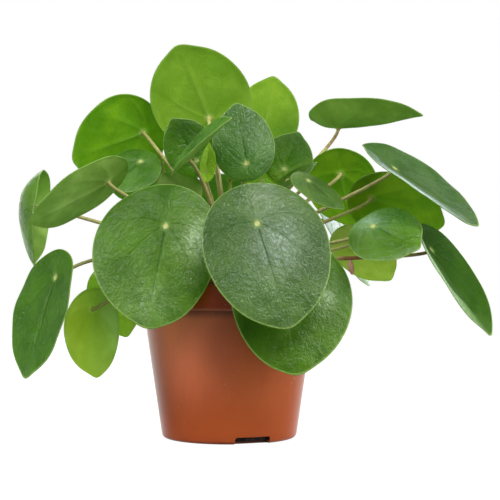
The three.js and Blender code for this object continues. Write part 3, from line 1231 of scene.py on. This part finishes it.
@dataclass(frozen=True)
class Leaf:
    """One leaf.

    It is given by the spot where the stalk meets the blade, the way from there to the tip, the
    way its upper face looks, its width and how it is bent. The tint multiplies its tone, and with
    the patches it paints the light and shade that fall on this leaf.
    """

    name: str
    at: Triple
    tip: Triple
    face: Triple
    width: float
    tone: LeafTone
    base: float = 0.28
    lean: float = 0
    dome: float = 0
    fold: float = 0
    tint_and_painted_light: Triple = (1, 1, 1)
    gloss: float = 1
    painted_lights: tuple[PaintedLight, ...] = ()
    root: float = 116
    rise: float | None = None
    via: Triple | None = None
    blush: float = 0.35
    form: BladeForm = field(default_factory=BladeForm)
    stalk: StalkForm = field(default_factory=StalkForm)

    def axes(self) -> tuple[Vector, Vector, Vector]:
        """The directions of the blade.

        Returns:
            Along to the tip, up out of the upper face, and across.
        """
        along = Vector(self.tip).normalized()
        up = Vector(self.face)
        up = (up - along * up.dot(along)).normalized()
        return along, up, up.cross(along)

    def outline(self, angle: float) -> Place:
        """The margin at an angle from the tip.

        Args:
            angle: Radians, from -pi to pi.

        Returns:
            How far forward and how far sideways from the stalk the margin lies.
        """
        form = self.form
        length = (Vector(self.tip).length - form.point) / (1 - self.base)
        tip = form.point * bell(angle, form.point_angle)
        forward = length * (0.5 - self.base + 0.5 * math.cos(angle)) + tip
        half = 0.5 * self.width * (1 - form.ovate * math.cos(angle))
        return forward, half * math.sin(angle) + self.lean * math.sin(angle) ** 2

    def drop(self, share: float, angle: float, forward: float, sideways: float) -> float:
        """How far a point of the upper face lies below the flat blade.

        Args:
            share: The share of the way from the stalk to the margin.
            angle: The angle from the tip.
            forward: How far forward the point lies.
            sideways: How far sideways it lies.

        Returns:
            The drop in millimetres.
        """
        form, small = self.form, min(self.width / self.form.full_width, 1)
        reach, turn = math.hypot(forward, sideways), math.atan2(sideways, forward)
        number = self.vein(share, turn)
        off_vein = abs(number - round(number)) * self.spacing(share, turn, reach)
        crease = math.sqrt(sideways ** 2 + 6) - math.sqrt(6)
        drop = self.dome * share ** 2 + self.fold * crease / (self.width / 2)
        drop += form.navel_depth * small * bell(reach, form.navel_width)
        deep = form.midrib_depth if abs(number) < 0.5 else form.vein_depth
        deep *= small * bell(off_vein, form.vein_width)
        drop += deep * smoothstep(1, 0.55, share) * min(reach / 7, 1)
        seed = sum(map(ord, self.name))
        wave = math.sin(4 * angle + seed) + 0.7 * math.sin(7 * angle + seed * 1.7)
        drop += form.ripple * small * wave * share ** 3
        drop += form.curl * small * smoothstep(0.86, 1, share) ** 2
        spot = Vector((forward, sideways, seed)) * form.swell_scale
        return drop + form.swell * small * noise.noise(spot) * smoothstep(0, 0.4, share)

    def vein(self, share: float, angle: float) -> float:
        """Counts the veins from the midrib to a point, with whole numbers on the veins."""
        bend = self.form.vein_bend * math.sin(angle) * share
        return (math.degrees(angle) + bend) / self.form.vein_angle

    def spacing(self, share: float, angle: float, reach: float) -> float:
        """How far apart two veins are, in millimetres, at a point."""
        bend = math.radians(self.form.vein_bend) * math.cos(angle) * share
        return reach * math.radians(self.form.vein_angle) / (1 + bend)

    @property
    def sunk(self) -> float:
        """How deep the middle of the dimple over the stalk is."""
        return self.drop(0, 0, 1e-6, 0)

    def shares(self) -> list[float]:
        """Where the rings of points lie, as shares of the way from the stalk to the margin."""
        form = self.form
        return [(i / form.rings) ** form.ring_power for i in range(1, form.rings)] + [0.992, 1.0]

    def upper_face(self) -> tuple[list[list[Vector]], list[list[Place]], list[list[Triple]]]:
        """The rings of points of the upper face.

        Returns:
            The points; how far sideways and forward each lies on the flat blade; and the vein
            number, the share and the millimetres from vein to vein at each corner. A ring of
            corners holds one more than a ring of points, because it ends beyond the seam.
        """
        along, up, across = self.axes()
        count = self.form.sectors
        angles = [-math.pi + math.tau * i / count for i in range(count + 1)]
        top, flat, radial = [], [], []
        for share in self.shares():
            ring, spots, marks = [], [], []
            for angle in angles:
                forward, sideways = (value * share for value in self.outline(angle))
                height = -self.drop(share, angle, forward, sideways)
                ring.append(Vector(self.at) + along * forward + across * sideways + up * height)
                spots.append((sideways, forward))
                turn = math.copysign(abs(math.atan2(sideways, forward)), angle)
                reach = math.hypot(forward, sideways)
                marks.append((self.vein(share, turn), share, self.spacing(share, turn, reach)))
            top.append(ring[:-1])
            flat.append(spots[:-1])
            radial.append(marks)
        return top, flat, radial

    def blade(self, material: bpy.types.Material) -> bpy.types.Object:
        """Builds the blade: two faces that close round the margin.

        Args:
            material: What the blade is dressed in.

        Returns:
            The finished piece.
        """
        form = self.form
        _, up, _ = self.axes()
        top, flat, radial = self.upper_face()
        centre = Vector(self.at) - up * self.sunk
        middle = self._normals(centre, top, up)
        rim = [
            point - normal * (form.edge_thickness / 2) + (point - centre).normalized() * form.margin
            for point, normal in zip(top[-1], middle[-1])
        ]
        under = []
        for share, ring, normals in zip(self.shares(), top, middle):
            thick = form.thickness + (form.edge_thickness - form.thickness) * share
            under.append([point - normal * thick for point, normal in zip(ring, normals)])
        rows = top + [rim] + under[::-1]
        sides = [1.0] * len(top) + [0.0] + [-1.0] * len(top)
        grid = radial + radial[-1:] + radial[::-1]
        spots = flat + flat[-1:] + flat[::-1]
        points = [centre, *(point for row in rows for point in row), centre - up * form.thickness]
        places, skins = [(0.0, 0.0, 1.0)], [self.skin(0, 0, 0)]
        for row, marks, side in zip(spots, grid, sides):
            for (sideways, forward), (_, share, _) in zip(row, marks):
                places.append((sideways, forward, side))
                skins.append(self.skin(forward, sideways, share))
        places.append((0.0, 0.0, -1.0))
        skins.append(skins[0])
        faces, corners = self._closed(grid)
        piece = make_piece(f"blade_{self.name}", points, faces, material)
        store(piece, "blade", "POINT", places)
        store(piece, "tint_and_painted_light", "POINT", [tint_and_painted_light for tint_and_painted_light, _ in skins])
        store(piece, "skin", "POINT", [skin for _, skin in skins])
        store(piece, "radial", "CORNER", corners)
        return settle(piece, f"leaf_{self.name}")

    @staticmethod
    def _closed(grid: Sequence[Sequence[Triple]]) -> tuple[list[list[int]], list[Triple]]:
        """Joins rings of points, and a middle point before and after them, into a closed mesh.

        Args:
            grid: The vector of each corner, ring by ring, from the upper middle to the lower.

        Returns:
            The faces, and the vector of each of their corners.
        """
        count = len(grid[0]) - 1
        last = 1 + len(grid) * count
        faces, corners = [], []
        for i in range(count):
            j = (i + 1) % count
            here, there = grid[0][i], grid[0][i + 1]
            middle = ((here[0] + there[0]) / 2, 0.0, 0.0)
            faces.append([0, 1 + i, 1 + j])
            corners += [middle, here, there]
            for row, (inner, outer) in enumerate(zip(grid, grid[1:])):
                low, high = 1 + row * count, 1 + (row + 1) * count
                faces.append([low + i, high + i, high + j, low + j])
                corners += [inner[i], outer[i], outer[i + 1], inner[i + 1]]
            low = last - count
            faces.append([low + i, last, low + j])
            corners += [grid[-1][i], middle, grid[-1][i + 1]]
        return faces, corners

    def skin(self, forward: float, sideways: float, share: float) -> tuple[Triple, Triple]:
        """The skin at a point of the blade.

        Args:
            forward: How far forward the point lies.
            sideways: How far sideways it lies.
            share: The share of the way from the stalk to the margin.

        Returns:
            What its colour is multiplied by, which paints light and shade; and its gloss, its
            bloom, which is the amount of painted sheen, and a spare 0.
        """
        tint_and_painted_light, gloss, painted_sheen = list(self.tint_and_painted_light), self.gloss, 0.0
        for patch in self.painted_lights:
            ahead = (forward - patch.forward) / patch.stretch
            near = bell(math.hypot(ahead, sideways - patch.sideways), patch.reach)
            near *= smoothstep(patch.inner - 0.1, patch.inner, share)
            tint_and_painted_light = [c * (1 + (k - 1) * near) for c, k in zip(tint_and_painted_light, patch.tint_and_painted_light)]
            gloss += patch.gloss * near
            painted_sheen += patch.painted_sheen * near
        return (tint_and_painted_light[0], tint_and_painted_light[1], tint_and_painted_light[2]), (min(max(gloss, 0), 1), painted_sheen, 0.0)

    @staticmethod
    def _normals(
        centre: Vector, rings: Sequence[Sequence[Vector]], up: Vector
    ) -> list[list[Vector]]:
        """Unit normals of the upper face.

        Args:
            centre: The point over the stalk.
            rings: The rings of points, from the middle to the margin.
            up: The way the blade looks.

        Returns:
            One normal for each point, in the rings' order.
        """
        made = []
        for row, ring in enumerate(rings):
            inner = rings[row - 1] if row else [centre] * len(ring)
            outer = rings[row + 1] if row + 1 < len(rings) else ring
            normals = []
            for i, _ in enumerate(ring):
                out = outer[i] - inner[i]
                round_ = ring[(i + 1) % len(ring)] - ring[i - 1]
                normal = out.cross(round_).normalized()
                normals.append(normal if normal.dot(up) > 0 else up)
            made.append(normals)
        return made

    def path(self) -> list[Vector]:
        """The way of the stalk from the trunk to the underside of the blade.

        Returns:
            Points along it.
        """
        _, up, _ = self.axes()
        stalk, navel = self.stalk, Vector(self.at)
        root = Vector((0, 0, self.root))
        neck = Vector(self.via) if self.via else navel - up * stalk.neck
        end = navel - up * (self.form.thickness + self.sunk - 0.05)
        climb = max(end.z - root.z, stalk.least_climb) * stalk.rise
        shoulder = Vector((end.x * stalk.shoulder, end.y * stalk.shoulder, root.z))
        shoulder.z += climb if self.rise is None else self.rise
        made = []
        for i in range(stalk.points + 1):
            t = i / stalk.points
            s = 1 - t
            made.append(
                root * s ** 3 + shoulder * (3 * s * s * t) + neck * (3 * s * t * t) + end * t ** 3
            )
        return made


@dataclass
class Stem:
    """The trunk, every stalk that grows from it, and one dry scale."""

    leaves: Sequence[Leaf]
    radius: float = 5
    top_radius: float = 4
    foot: float = 76
    shoulder: float = 104
    top: float = 122
    rings: int = 60
    seed: int = 5
    scars: int = 16
    scar_zone: tuple[float, float] = (97, 119)
    sides: int = 14
    bract_on: str = "right_hanging"
    bract_along: float = 0.49
    bract_length: float = 10
    bract_width: float = 4.2
    bract_thickness: float = 0.35

    def build(self) -> list[bpy.types.Object]:
        """Builds the trunk, the stalks and the scale.

        Returns:
            The finished pieces.
        """
        pieces = [self._trunk(), self._stalks(), self._bract()]
        return [settle(piece, "stem") for piece in pieces]

    def _trunk(self) -> bpy.types.Object:
        """Builds the woody trunk with the scars of fallen leaves.

        Returns:
            The trunk.
        """
        rng = random.Random(self.seed)
        scars = [
            (rng.uniform(0, math.tau), rng.uniform(*self.scar_zone)) for _ in range(self.scars)
        ]
        profile = []
        for i in range(self.rings + 1):
            z = self.foot + (self.top - self.foot) * i / self.rings
            share = smoothstep(self.shoulder, self.top, z)
            profile.append((self.radius + (self.top_radius - self.radius) * share, z))
        profile.append((self.top_radius * 0.7, self.top + 0.8))
        profile.append((self.top_radius * 0.3, self.top + 1.2))
        turned = Lathe(profile, 48)
        points = []
        for ring in turned.rings():
            for x, y, z in ring:
                turn = math.atan2(y, x)
                swell = 0.25 * noise.noise(Vector((x, y, z)) * 0.35)
                for scar_turn, scar_z in scars:
                    around = math.remainder(turn - scar_turn, math.tau) * self.radius
                    off = math.hypot(around, z - scar_z)
                    swell += 0.5 * bell(off - 1.3, 0.6) - 0.25 * bell(off, 0.9)
                scale = 1 + min(swell, 0.3) / self.radius
                points.append((x * scale, y * scale, z))
        return make_piece("trunk", points, turned.faces(), BarkFinish().material())

    def _stalks(self) -> bpy.types.Object:
        """Builds all stalks: the paths as edges, made round by a geometry tree.

        Returns:
            The stalks as one mesh, with "along" from root to blade and "tint" for the blush.
        """
        points, edges, girth, tint_and_painted_light = [], [], [], []
        for leaf in self.leaves:
            path, form = leaf.path(), leaf.stalk
            small = form.young_share if leaf.width < form.young_width else 1
            length = sum((b - a).length for a, b in zip(path, path[1:]))
            edges += [(len(points) + i, len(points) + i + 1) for i in range(len(path) - 1)]
            for i, point in enumerate(path):
                left = 1 - i / (len(path) - 1)
                radius = form.thin + (form.thick - form.thin) * left ** 2
                radius += form.flare * bell(left * length, form.flare_reach)
                girth.append(radius * MM * small)
                tint_and_painted_light.append(leaf.blush)
                points.append(point * MM)
        mesh = bpy.data.meshes.new("stalks")
        mesh.from_pydata(points, edges, [])
        for name, values in (("girth", girth), ("tint_and_painted_light", tint_and_painted_light)):
            mesh.attributes.new(name, "FLOAT", "POINT").data.foreach_set("value", values)
        piece = add("stalks", mesh)
        tree = GeometryTree("stalks")
        sides = tree.take("Sides", "Int", self.sides)
        dress = tree.take("Material", "Material", StalkFinish().material())
        curve = tree.node("GeometryNodeMeshToCurve", inputs={0: tree.entry})
        thick = tree.node("GeometryNodeInputNamedAttribute", inputs={"Name": "girth"})
        along = tree.node("GeometryNodeSplineParameter")
        curve = tree.node(
            "GeometryNodeStoreNamedAttribute",
            inputs={"Geometry": curve, "Name": "along", "Value": along},
        )
        ring = tree.node(
            "GeometryNodeCurvePrimitiveCircle", inputs={"Resolution": sides, "Radius": 1.0}
        )
        tube = tree.node(
            "GeometryNodeCurveToMesh",
            inputs={0: curve, 1: ring, "Scale": thick, "Fill Caps": True},
        )
        smooth = tree.node("GeometryNodeSetShadeSmooth", inputs={"Geometry": tube})
        tree.finish(smooth, dress)
        tree.apply(piece)
        return piece

    def _bract(self) -> bpy.types.Object:
        """Builds the dry scale: a thin pointed sheet folded along its middle.

        Returns:
            The scale.
        """
        leaf = next(leaf for leaf in self.leaves if leaf.name == self.bract_on)
        path = leaf.path()
        start = path[round(self.bract_along * (len(path) - 1))]
        steps, across = 14, 8
        sheets = []
        for level in (0.0, self.bract_thickness):
            sheet = []
            for i in range(steps + 1):
                t = i / steps
                half = self.bract_width / 2 * math.sin(math.pi * min(t * 0.8 + 0.12, 1)) ** 0.8
                for j in range(across + 1):
                    s = 2 * j / across - 1
                    bow = 1.6 * (1 - s * s) + 1.2 * math.sin(2.4 * t) + level
                    sheet.append(start + Vector((
                        s * half + 1.5 * t, -bow + 0.8, -1.2 - self.bract_length * t,
                    )))
            sheets.append(sheet)
        count, row = len(sheets[0]), across + 1
        faces, rim = [], []
        for i in range(steps):
            for j in range(across):
                a = i * row + j
                quad = [a, a + 1, a + row + 1, a + row]
                faces.append(quad)
                faces.append([count + k for k in reversed(quad)])
        rim += range(across)
        rim += range(across, steps * row + across, row)
        rim += range(steps * row + across, steps * row, -1)
        rim += range(steps * row, 0, -row)
        for k, a in enumerate(rim):
            b = rim[(k + 1) % len(rim)]
            faces.append([b, a, count + a, count + b])
        return make_piece("dry_scale", sheets[0] + sheets[1], faces, BractFinish().material())


# The tints and patches of the leaves paint light and shade: painted shadows cast by other leaves,
# painted highlights and sheen, painted white reflections along some margins, and lighter and darker
# places.
LEAVES = (
    Leaf("front_middle", (19, -82, 149), (21, -22, -65), (0.1, -0.95, 0.3), 82, LeafTone.BLUISH,
         base=0.3, lean=2, dome=5, tint_and_painted_light=(0.84, 0.81, 0.79), painted_lights=(PaintedLight(-18, 10, 14, painted_sheen=0.4),
         PaintedLight(16, 10, 17, painted_sheen=0.8, tint_and_painted_light=(0.9, 0.95, 1)),
         PaintedLight(2, -24, 18, tint_and_painted_light=(0.74, 0.8, 0.7)), PaintedLight(36, -22, 20, tint_and_painted_light=(1.25, 1.2, 1.5)),
         PaintedLight(20, 34, 12, tint_and_painted_light=(0.75, 0.8, 0.7), stretch=2),
         PaintedLight(46, 0, 18, tint_and_painted_light=(1.4, 1.3, 1.5)))),
    Leaf("front_left", (-41, -68, 147), (-12, -18, -65), (-0.1, -0.96, 0.28), 83, LeafTone.FRESH,
         base=0.31, lean=-6, dome=4, fold=6, tint_and_painted_light=(0.88, 0.86, 0.44), gloss=0.7,
         painted_lights=(PaintedLight(4, 30, 17, tint_and_painted_light=(2, 1.8, 4), painted_sheen=1.7, gloss=0.3),
         PaintedLight(54, 0, 20, tint_and_painted_light=(1.7, 1.5, 3.4), painted_sheen=0.2), PaintedLight(-8, -24, 16, painted_sheen=0.1),
         PaintedLight(-16, -10, 18, tint_and_painted_light=(0.72, 0.78, 0.9)))),
    # front_low: its first patch is a painted shadow of front_middle, its second a painted
    # highlight.
    Leaf("front_low", (34, -66, 118), (12, -22, -66), (0.1, -0.95, 0.25), 80, LeafTone.DEEP, lean=5,
         dome=4, root=108, tint_and_painted_light=(1.35, 1.15, 1.2), gloss=0.8,
         painted_lights=(PaintedLight(38, -30, 20, tint_and_painted_light=(0.25, 0.36, 0.12), gloss=-1),
         PaintedLight(22, 24, 9, tint_and_painted_light=(1.4, 1.35, 1.6), painted_sheen=0.6, gloss=0.1),
         PaintedLight(44, 26, 16, tint_and_painted_light=(1.15, 1.1, 1.1), painted_sheen=0.1))),
    # far_left: its first patch paints a silvery reflection along its right edge.
    Leaf("far_left", (-144, 0, 161), (-4, 0, -42), (-0.97, 0.1, 0.15), 54, LeafTone.OLIVE,
         base=0.38, dome=14, fold=2, tint_and_painted_light=(1.2, 1, 1.4),
         painted_lights=(PaintedLight(8, -27, 14, tint_and_painted_light=(1.8, 1.7, 2.6), painted_sheen=2, stretch=3),
         PaintedLight(4, 22, 18, tint_and_painted_light=(0.8, 0.78, 0.35), stretch=2))),
    Leaf("left_hanging", (-116, -42, 112), (-19, -8, -67), (-0.8, -0.55, 0.2), 68, LeafTone.DEEP,
         base=0.22, lean=-3, dome=-1, fold=-2, root=108, via=(-82, -26, 138),
         tint_and_painted_light=(0.78, 0.86, 0.26), gloss=0.6),
    Leaf("left_raised", (-81, -40, 176), (-48, -15, -30), (-0.45, 0.5, 0.72), 52, LeafTone.OLIVE,
         base=0.25, dome=-4, tint_and_painted_light=(1.65, 1.4, 2.2),
         painted_lights=(PaintedLight(-12, 0, 14, tint_and_painted_light=(0.7, 0.75, 0.6)),
         PaintedLight(34, 0, 20, tint_and_painted_light=(1.2, 1.2, 1.4)))),
    Leaf("left_inner", (-61, 2, 190), (-22, -8, -18), (-0.2, -0.6, 0.75), 46, LeafTone.FRESH,
         dome=2, tint_and_painted_light=(0.8, 0.8, 0.9), painted_lights=(PaintedLight(15, 8, 14, tint_and_painted_light=(1.4, 1.3, 1.5)),)),
    Leaf("left_low_small", (-91, -44, 91), (2, 4, -46), (-0.45, 0.85, 0.1), 40, LeafTone.YELLOW,
         base=0.25, lean=3, dome=2, fold=2, root=104, rise=34, blush=0, tint_and_painted_light=(0.9, 0.8, 1.1),
         painted_lights=(PaintedLight(12, -14, 11, tint_and_painted_light=(2, 1.9, 7), stretch=3),
         PaintedLight(10, 12, 12, tint_and_painted_light=(0.8, 0.75, 0.4)))),
    Leaf("left_low_behind", (-81, -28, 106), (12, -2, -35), (-0.2, -0.9, 0.3), 36, LeafTone.YELLOW,
         dome=2, root=106, rise=24, tint_and_painted_light=(1.9, 1.4, 6)),
    Leaf("upper_left_back", (-61, 30, 210), (-49, -17, -18), (-0.2, 0.9, 0.4), 68, LeafTone.VIVID,
         base=0.22, lean=1, dome=3, tint_and_painted_light=(1.3, 1.08, 2)),
    Leaf("top_back", (-14, 20, 220), (-21, -16, 50.2), (0.1, 0.95, 0.25), 70, LeafTone.SUNLIT,
         dome=3, tint_and_painted_light=(1, 1, 1.8)),
    Leaf("top_middle", (24, 34, 208), (7, 10, 41), (0.1, 0.95, 0.15), 46, LeafTone.SUNLIT, dome=2,
         tint_and_painted_light=(0.85, 0.8, 1.1), painted_lights=(PaintedLight(0, 17, 11, tint_and_painted_light=(0.6, 0.68, 1), stretch=2),)),
    Leaf("top_right", (76, 26, 214), (57, -20, 2), (-0.05, 0.25, 0.96), 60, LeafTone.OLIVE,
         base=0.26, dome=-7, fold=-6, blush=1.6, tint_and_painted_light=(1.3, 1.12, 1.7),
         painted_lights=(PaintedLight(14, 19, 12, tint_and_painted_light=(0.42, 0.5, 0.95), stretch=4),
         PaintedLight(26, -16, 16, tint_and_painted_light=(1.5, 1.4, 1.3), stretch=2))),
    Leaf("inner_dark", (-22, -13, 190), (-17, -4, 28), (-0.35, -0.85, 0.3), 36, LeafTone.DEEP,
         dome=2, tint_and_painted_light=(1.35, 1.25, 1.45), painted_lights=(PaintedLight(22, -4, 14, tint_and_painted_light=(0.55, 0.6, 0.6)),
         PaintedLight(-4, 8, 14, tint_and_painted_light=(1.9, 1.9, 2)))),
    Leaf("edge_on", (-27, -42, 191), (29, -14, 27), (-0.77, -0.1, 0.62), 46, LeafTone.OLIVE,
         fold=-6, tint_and_painted_light=(0.95, 0.85, 1.4)),
    Leaf("young", (-15, -27, 182), (2, -2, 20), (0.3, -0.9, 0.1), 11, LeafTone.YELLOW, fold=-3,
         tint_and_painted_light=(2.1, 1.6, 2.6)),
    Leaf("middle_upright", (12, -26, 188), (-7, 12, 42), (0, -0.96, 0.27), 42, LeafTone.BLUISH,
         base=0.22, dome=3, tint_and_painted_light=(0.72, 0.84, 0.62),
         painted_lights=(PaintedLight(32, 0, 16, tint_and_painted_light=(0.75, 0.78, 0.8)), PaintedLight(0, 0, 16, tint_and_painted_light=(1.35, 1.35, 1.2)),
         PaintedLight(14, -13, 8, painted_sheen=0.25, stretch=1.6))),
    Leaf("inner_olive", (-32, -3, 161), (-14, 4, 20), (-0.2, 0.9, 0.1), 36, LeafTone.OLIVE, dome=2,
         tint_and_painted_light=(1.4, 1.15, 2)),
    Leaf("middle_dark", (38, -6, 184), (10, 4, 26), (0.2, -0.9, 0.35), 35, LeafTone.DEEP, dome=2,
         tint_and_painted_light=(1.15, 1, 1.1), gloss=0.3, painted_lights=(PaintedLight(22, 0, 15, tint_and_painted_light=(0.5, 0.55, 0.6)),
         PaintedLight(-6, 0, 14, tint_and_painted_light=(2.5, 2.1, 3)))),
    Leaf("middle_behind", (23, -4, 177), (0, -6, -24), (0, -0.7, 0.7), 26, LeafTone.YELLOW, dome=1),
    Leaf("right_shaded", (77, 14, 181), (8, 16, -35), (0.1, 0.8, 0.55), 50, LeafTone.VIVID,
         base=0.36, dome=2, tint_and_painted_light=(2.1, 1.45, 5),
         painted_lights=(PaintedLight(-6, 0, 14, tint_and_painted_light=(0.8, 0.85, 0.6)),)),
    Leaf("right_under", (98, -2, 165), (50, -2, -16), (0.2, 0.75, 0.6), 60, LeafTone.VIVID,
         base=0.24, dome=3, tint_and_painted_light=(2.4, 1.5, 6),
         painted_lights=(PaintedLight(-4, -8, 16, tint_and_painted_light=(0.75, 0.8, 0.5)),)),
    # right_large: its patch paints a silvery reflection along its near margin.
    Leaf("right_large", (111, -42, 185), (54, -10, -39), (0.6, -0.3, 0.74), 72, LeafTone.BLUISH,
         base=0.29, dome=-1, fold=-5, tint_and_painted_light=(0.68, 0.67, 0.86), gloss=0.25,
         painted_lights=(PaintedLight(24, -38, 24, tint_and_painted_light=(2, 1.9, 2.5), painted_sheen=1.1, gloss=0.6, stretch=1.9,
                        inner=0.68),)),
    Leaf("right_small", (53, -48, 177), (24, -10, -18), (0.45, -0.5, 0.7), 30, LeafTone.FRESH,
         dome=2, tint_and_painted_light=(1.3, 0.95, 2), gloss=0.3),
    Leaf("right_narrow", (39, -20, 177), (20, 3, 13), (-0.4, -0.3, 0.85), 26, LeafTone.DEEP, dome=1,
         tint_and_painted_light=(1.4, 1.1, 2)),
    Leaf("right_front", (95, -62, 147), (29, -18, -12), (0.1, -0.75, 0.65), 52, LeafTone.FRESH,
         dome=3, tint_and_painted_light=(1.15, 1, 1.2), painted_lights=(PaintedLight(-6, 2, 10, tint_and_painted_light=(1.3, 1.3, 2), painted_sheen=0.4),
         PaintedLight(8, 18, 12, tint_and_painted_light=(1.6, 1.6, 2.8)), PaintedLight(4, -20, 14, tint_and_painted_light=(0.7, 0.7, 0.45)),
         PaintedLight(26, -4, 15, tint_and_painted_light=(0.75, 0.75, 0.5)))),
    Leaf("right_yellow", (85, -6, 136), (27, 16, -27), (0.1, 0.75, 0.6), 40, LeafTone.YELLOW,
         dome=2, tint_and_painted_light=(2.1, 1.4, 6)),
    # right_hanging: its first patch paints a silvery reflection along its left margin.
    Leaf("right_hanging", (137, -30, 130), (36, -14, -58), (0.75, -0.35, 0.5), 66, LeafTone.DEEP,
         base=0.22, dome=-3, fold=-4, blush=1.6, tint_and_painted_light=(0.4, 0.44, 0.2), gloss=0.3,
         painted_lights=(PaintedLight(16, -34, 30, tint_and_painted_light=(3.6, 3.2, 8), painted_sheen=1.4, gloss=0.6, stretch=2,
                        inner=0.8),
         PaintedLight(-12, 4, 20, tint_and_painted_light=(0.45, 0.5, 0.5)), PaintedLight(40, 10, 24, tint_and_painted_light=(0.9, 0.9, 0.5)))),
    Leaf("right_silver", (75, 62, 152), (29, 10, -50), (0.8, -0.25, 0.5), 52, LeafTone.SILVERY,
         dome=3, tint_and_painted_light=(1.5, 1.4, 1.8), painted_lights=(PaintedLight(10, -16, 30, painted_sheen=0.8),)),
    Leaf("back_top", (-6, 52, 226), (-14, 30, 26), (0.05, 0.7, 0.6), 50, LeafTone.FRESH, dome=3),
    Leaf("back_high_left", (-50, 60, 190), (-30, 32, -22), (-0.3, 0.55, 0.78), 60, LeafTone.FRESH,
         dome=5),
    Leaf("back_middle", (0, 74, 178), (6, 42, -22), (0.05, 0.6, 0.8), 60, LeafTone.BLUISH, dome=5),
    Leaf("back_low_left", (-60, 64, 128), (-22, 26, -52), (-0.6, 0.7, 0.35), 66, LeafTone.DEEP,
         dome=4, root=110),
    Leaf("back_low_middle", (2, 92, 122), (4, 24, -58), (0.05, 0.93, 0.35), 68, LeafTone.FRESH,
         dome=5, root=108),
    Leaf("back_low_right", (48, 60, 122), (22, 26, -48), (0.6, 0.7, 0.35), 58, LeafTone.DEEP,
         dome=4, root=106),
)


@dataclass
class Foliage:
    """All blades of the plant."""

    leaves: Sequence[Leaf] = LEAVES

    def build(self) -> list[bpy.types.Object]:
        """Builds every blade in its tone.

        Returns:
            The finished pieces.
        """
        greens = {tone: tone.value.material() for tone in LeafTone}
        return [leaf.blade(greens[leaf.tone]) for leaf in self.leaves]


# ---------- The studio ----------


@dataclass
class Lamp:
    """One soft square light that looks at the plant from a direction, in degrees from the front."""

    name: str
    turn: float
    height: float
    size: tuple[float, float]
    power: float
    distance: float = 1.6
    aim: Triple = (0, 0, 0.15)

    def build(self) -> bpy.types.Object:
        """Hangs the light in the studio.

        Returns:
            The light.
        """
        light = bpy.data.lights.new(self.name, "AREA")
        light.shape = "RECTANGLE"
        light.size, light.size_y = self.size
        light.energy = self.power
        turn, height = math.radians(self.turn), math.radians(self.height)
        away = Vector((
            math.sin(turn) * math.cos(height), -math.cos(turn) * math.cos(height), math.sin(height),
        ))
        lamp = add(self.name, light)
        lamp.location = Vector(self.aim) + away * self.distance
        lamp.rotation_euler = away.to_track_quat("Z", "Y").to_euler()
        lamp.visible_camera = False
        return lamp


@dataclass
class Studio:
    """A white sweep, soft lights and the camera. Lengths are in metres here."""

    camera_at: Triple = (0.0143, -1.4, 0.179)
    camera_pitch: float = 2.06
    camera_lens: float = 146.7
    sensor: float = 36
    floor_radius: float = 0.9
    sky: float = 0.02
    backdrop: float = 1.1
    table: float = 0.2
    lamps: tuple[Lamp, ...] = (
        Lamp("key", 25, 49, (0.8, 0.5), 15.1),
        Lamp("front", -4, 26, (0.6, 0.6), 1.7),
        Lamp("fill_left", -60, 36, (0.8, 0.8), 9.7),
        Lamp("low_left", -72, 16, (0.8, 0.8), 10.3),
        Lamp("low_right", 56, 18, (0.8, 0.8), 6.7),
        Lamp("side_right", 80, 10, (0.8, 0.8), 10.3),
        Lamp("panel_behind", 180, 14, (1.7, 1.3), 13.0),
        Lamp("rear_top", 180, 50, (1.0, 1.0), 7.6),
    )

    def build(self) -> None:
        """Builds the floor, the air, the lights and the camera."""
        scene = bpy.context.scene
        scene.view_settings.view_transform = "Standard"
        self._floor()
        self._air()
        for lamp in self.lamps:
            lamp.build()
        camera = bpy.data.cameras.new("camera")
        camera.lens = self.camera_lens
        camera.sensor_width = self.sensor
        camera.clip_start, camera.clip_end = 0.01, 100
        view = add("camera", camera)
        view.location = self.camera_at
        view.rotation_euler = (math.radians(90 - self.camera_pitch), 0, 0)
        scene.camera = view

    def _floor(self) -> None:
        """The floor: one wide flat disc."""
        turns = [math.tau * i / 64 for i in range(64)]
        reach = self.floor_radius / MM
        points = [(reach * math.cos(t), reach * math.sin(t), 0) for t in turns]
        floor = make_piece("floor", points, [list(range(64))], FloorFinish().material())
        floor.visible_diffuse = floor.visible_glossy = floor.visible_shadow = False
        floor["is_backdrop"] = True

    def _air(self) -> None:
        """White air for the viewer, and the light of the table and of the backdrop on the plant."""
        world = bpy.data.worlds.new("air")
        world.use_nodes = True
        bpy.context.scene.world = world
        tree = Tree(world.node_tree)
        _, behind, height = tree.node("ShaderNodeTexCoord", output="Generated").split()
        strength = height.rise(-0.02, 0.02, self.table, self.sky)
        band = height.rise(0.06, 0.3, 1, 0.35) * height.rise(-0.3, -0.12, 0.3, 1)
        strength = strength + behind.rise(0.2, 0.9, 0, self.backdrop) * band
        lit, seen = (
            tree.node("ShaderNodeBackground", inputs={"Color": WHITE, "Strength": power})
            for power in (strength, 1.0)
        )
        eye = tree.node("ShaderNodeLightPath", output="Is Camera Ray")
        tree.node("ShaderNodeOutputWorld", inputs={0: tree.blend(eye, lit, seen)})


def main() -> None:
    """Builds the pot, the soil, the stem, the leaves and the studio, and measures the size before
    and after.
    """
    logging.basicConfig(level=logging.INFO, format="%(message)s")
    cad = [list(corner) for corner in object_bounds()]
    pot = Pot()
    pot.build()
    Soil(pot).build()
    foliage = Foliage()
    Stem(foliage.leaves).build()
    foliage.build()
    Studio().build()
    visual = [list(corner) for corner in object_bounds()]
    {"cad": cad, "visual": visual}


if __name__ == "__main__":
    main()
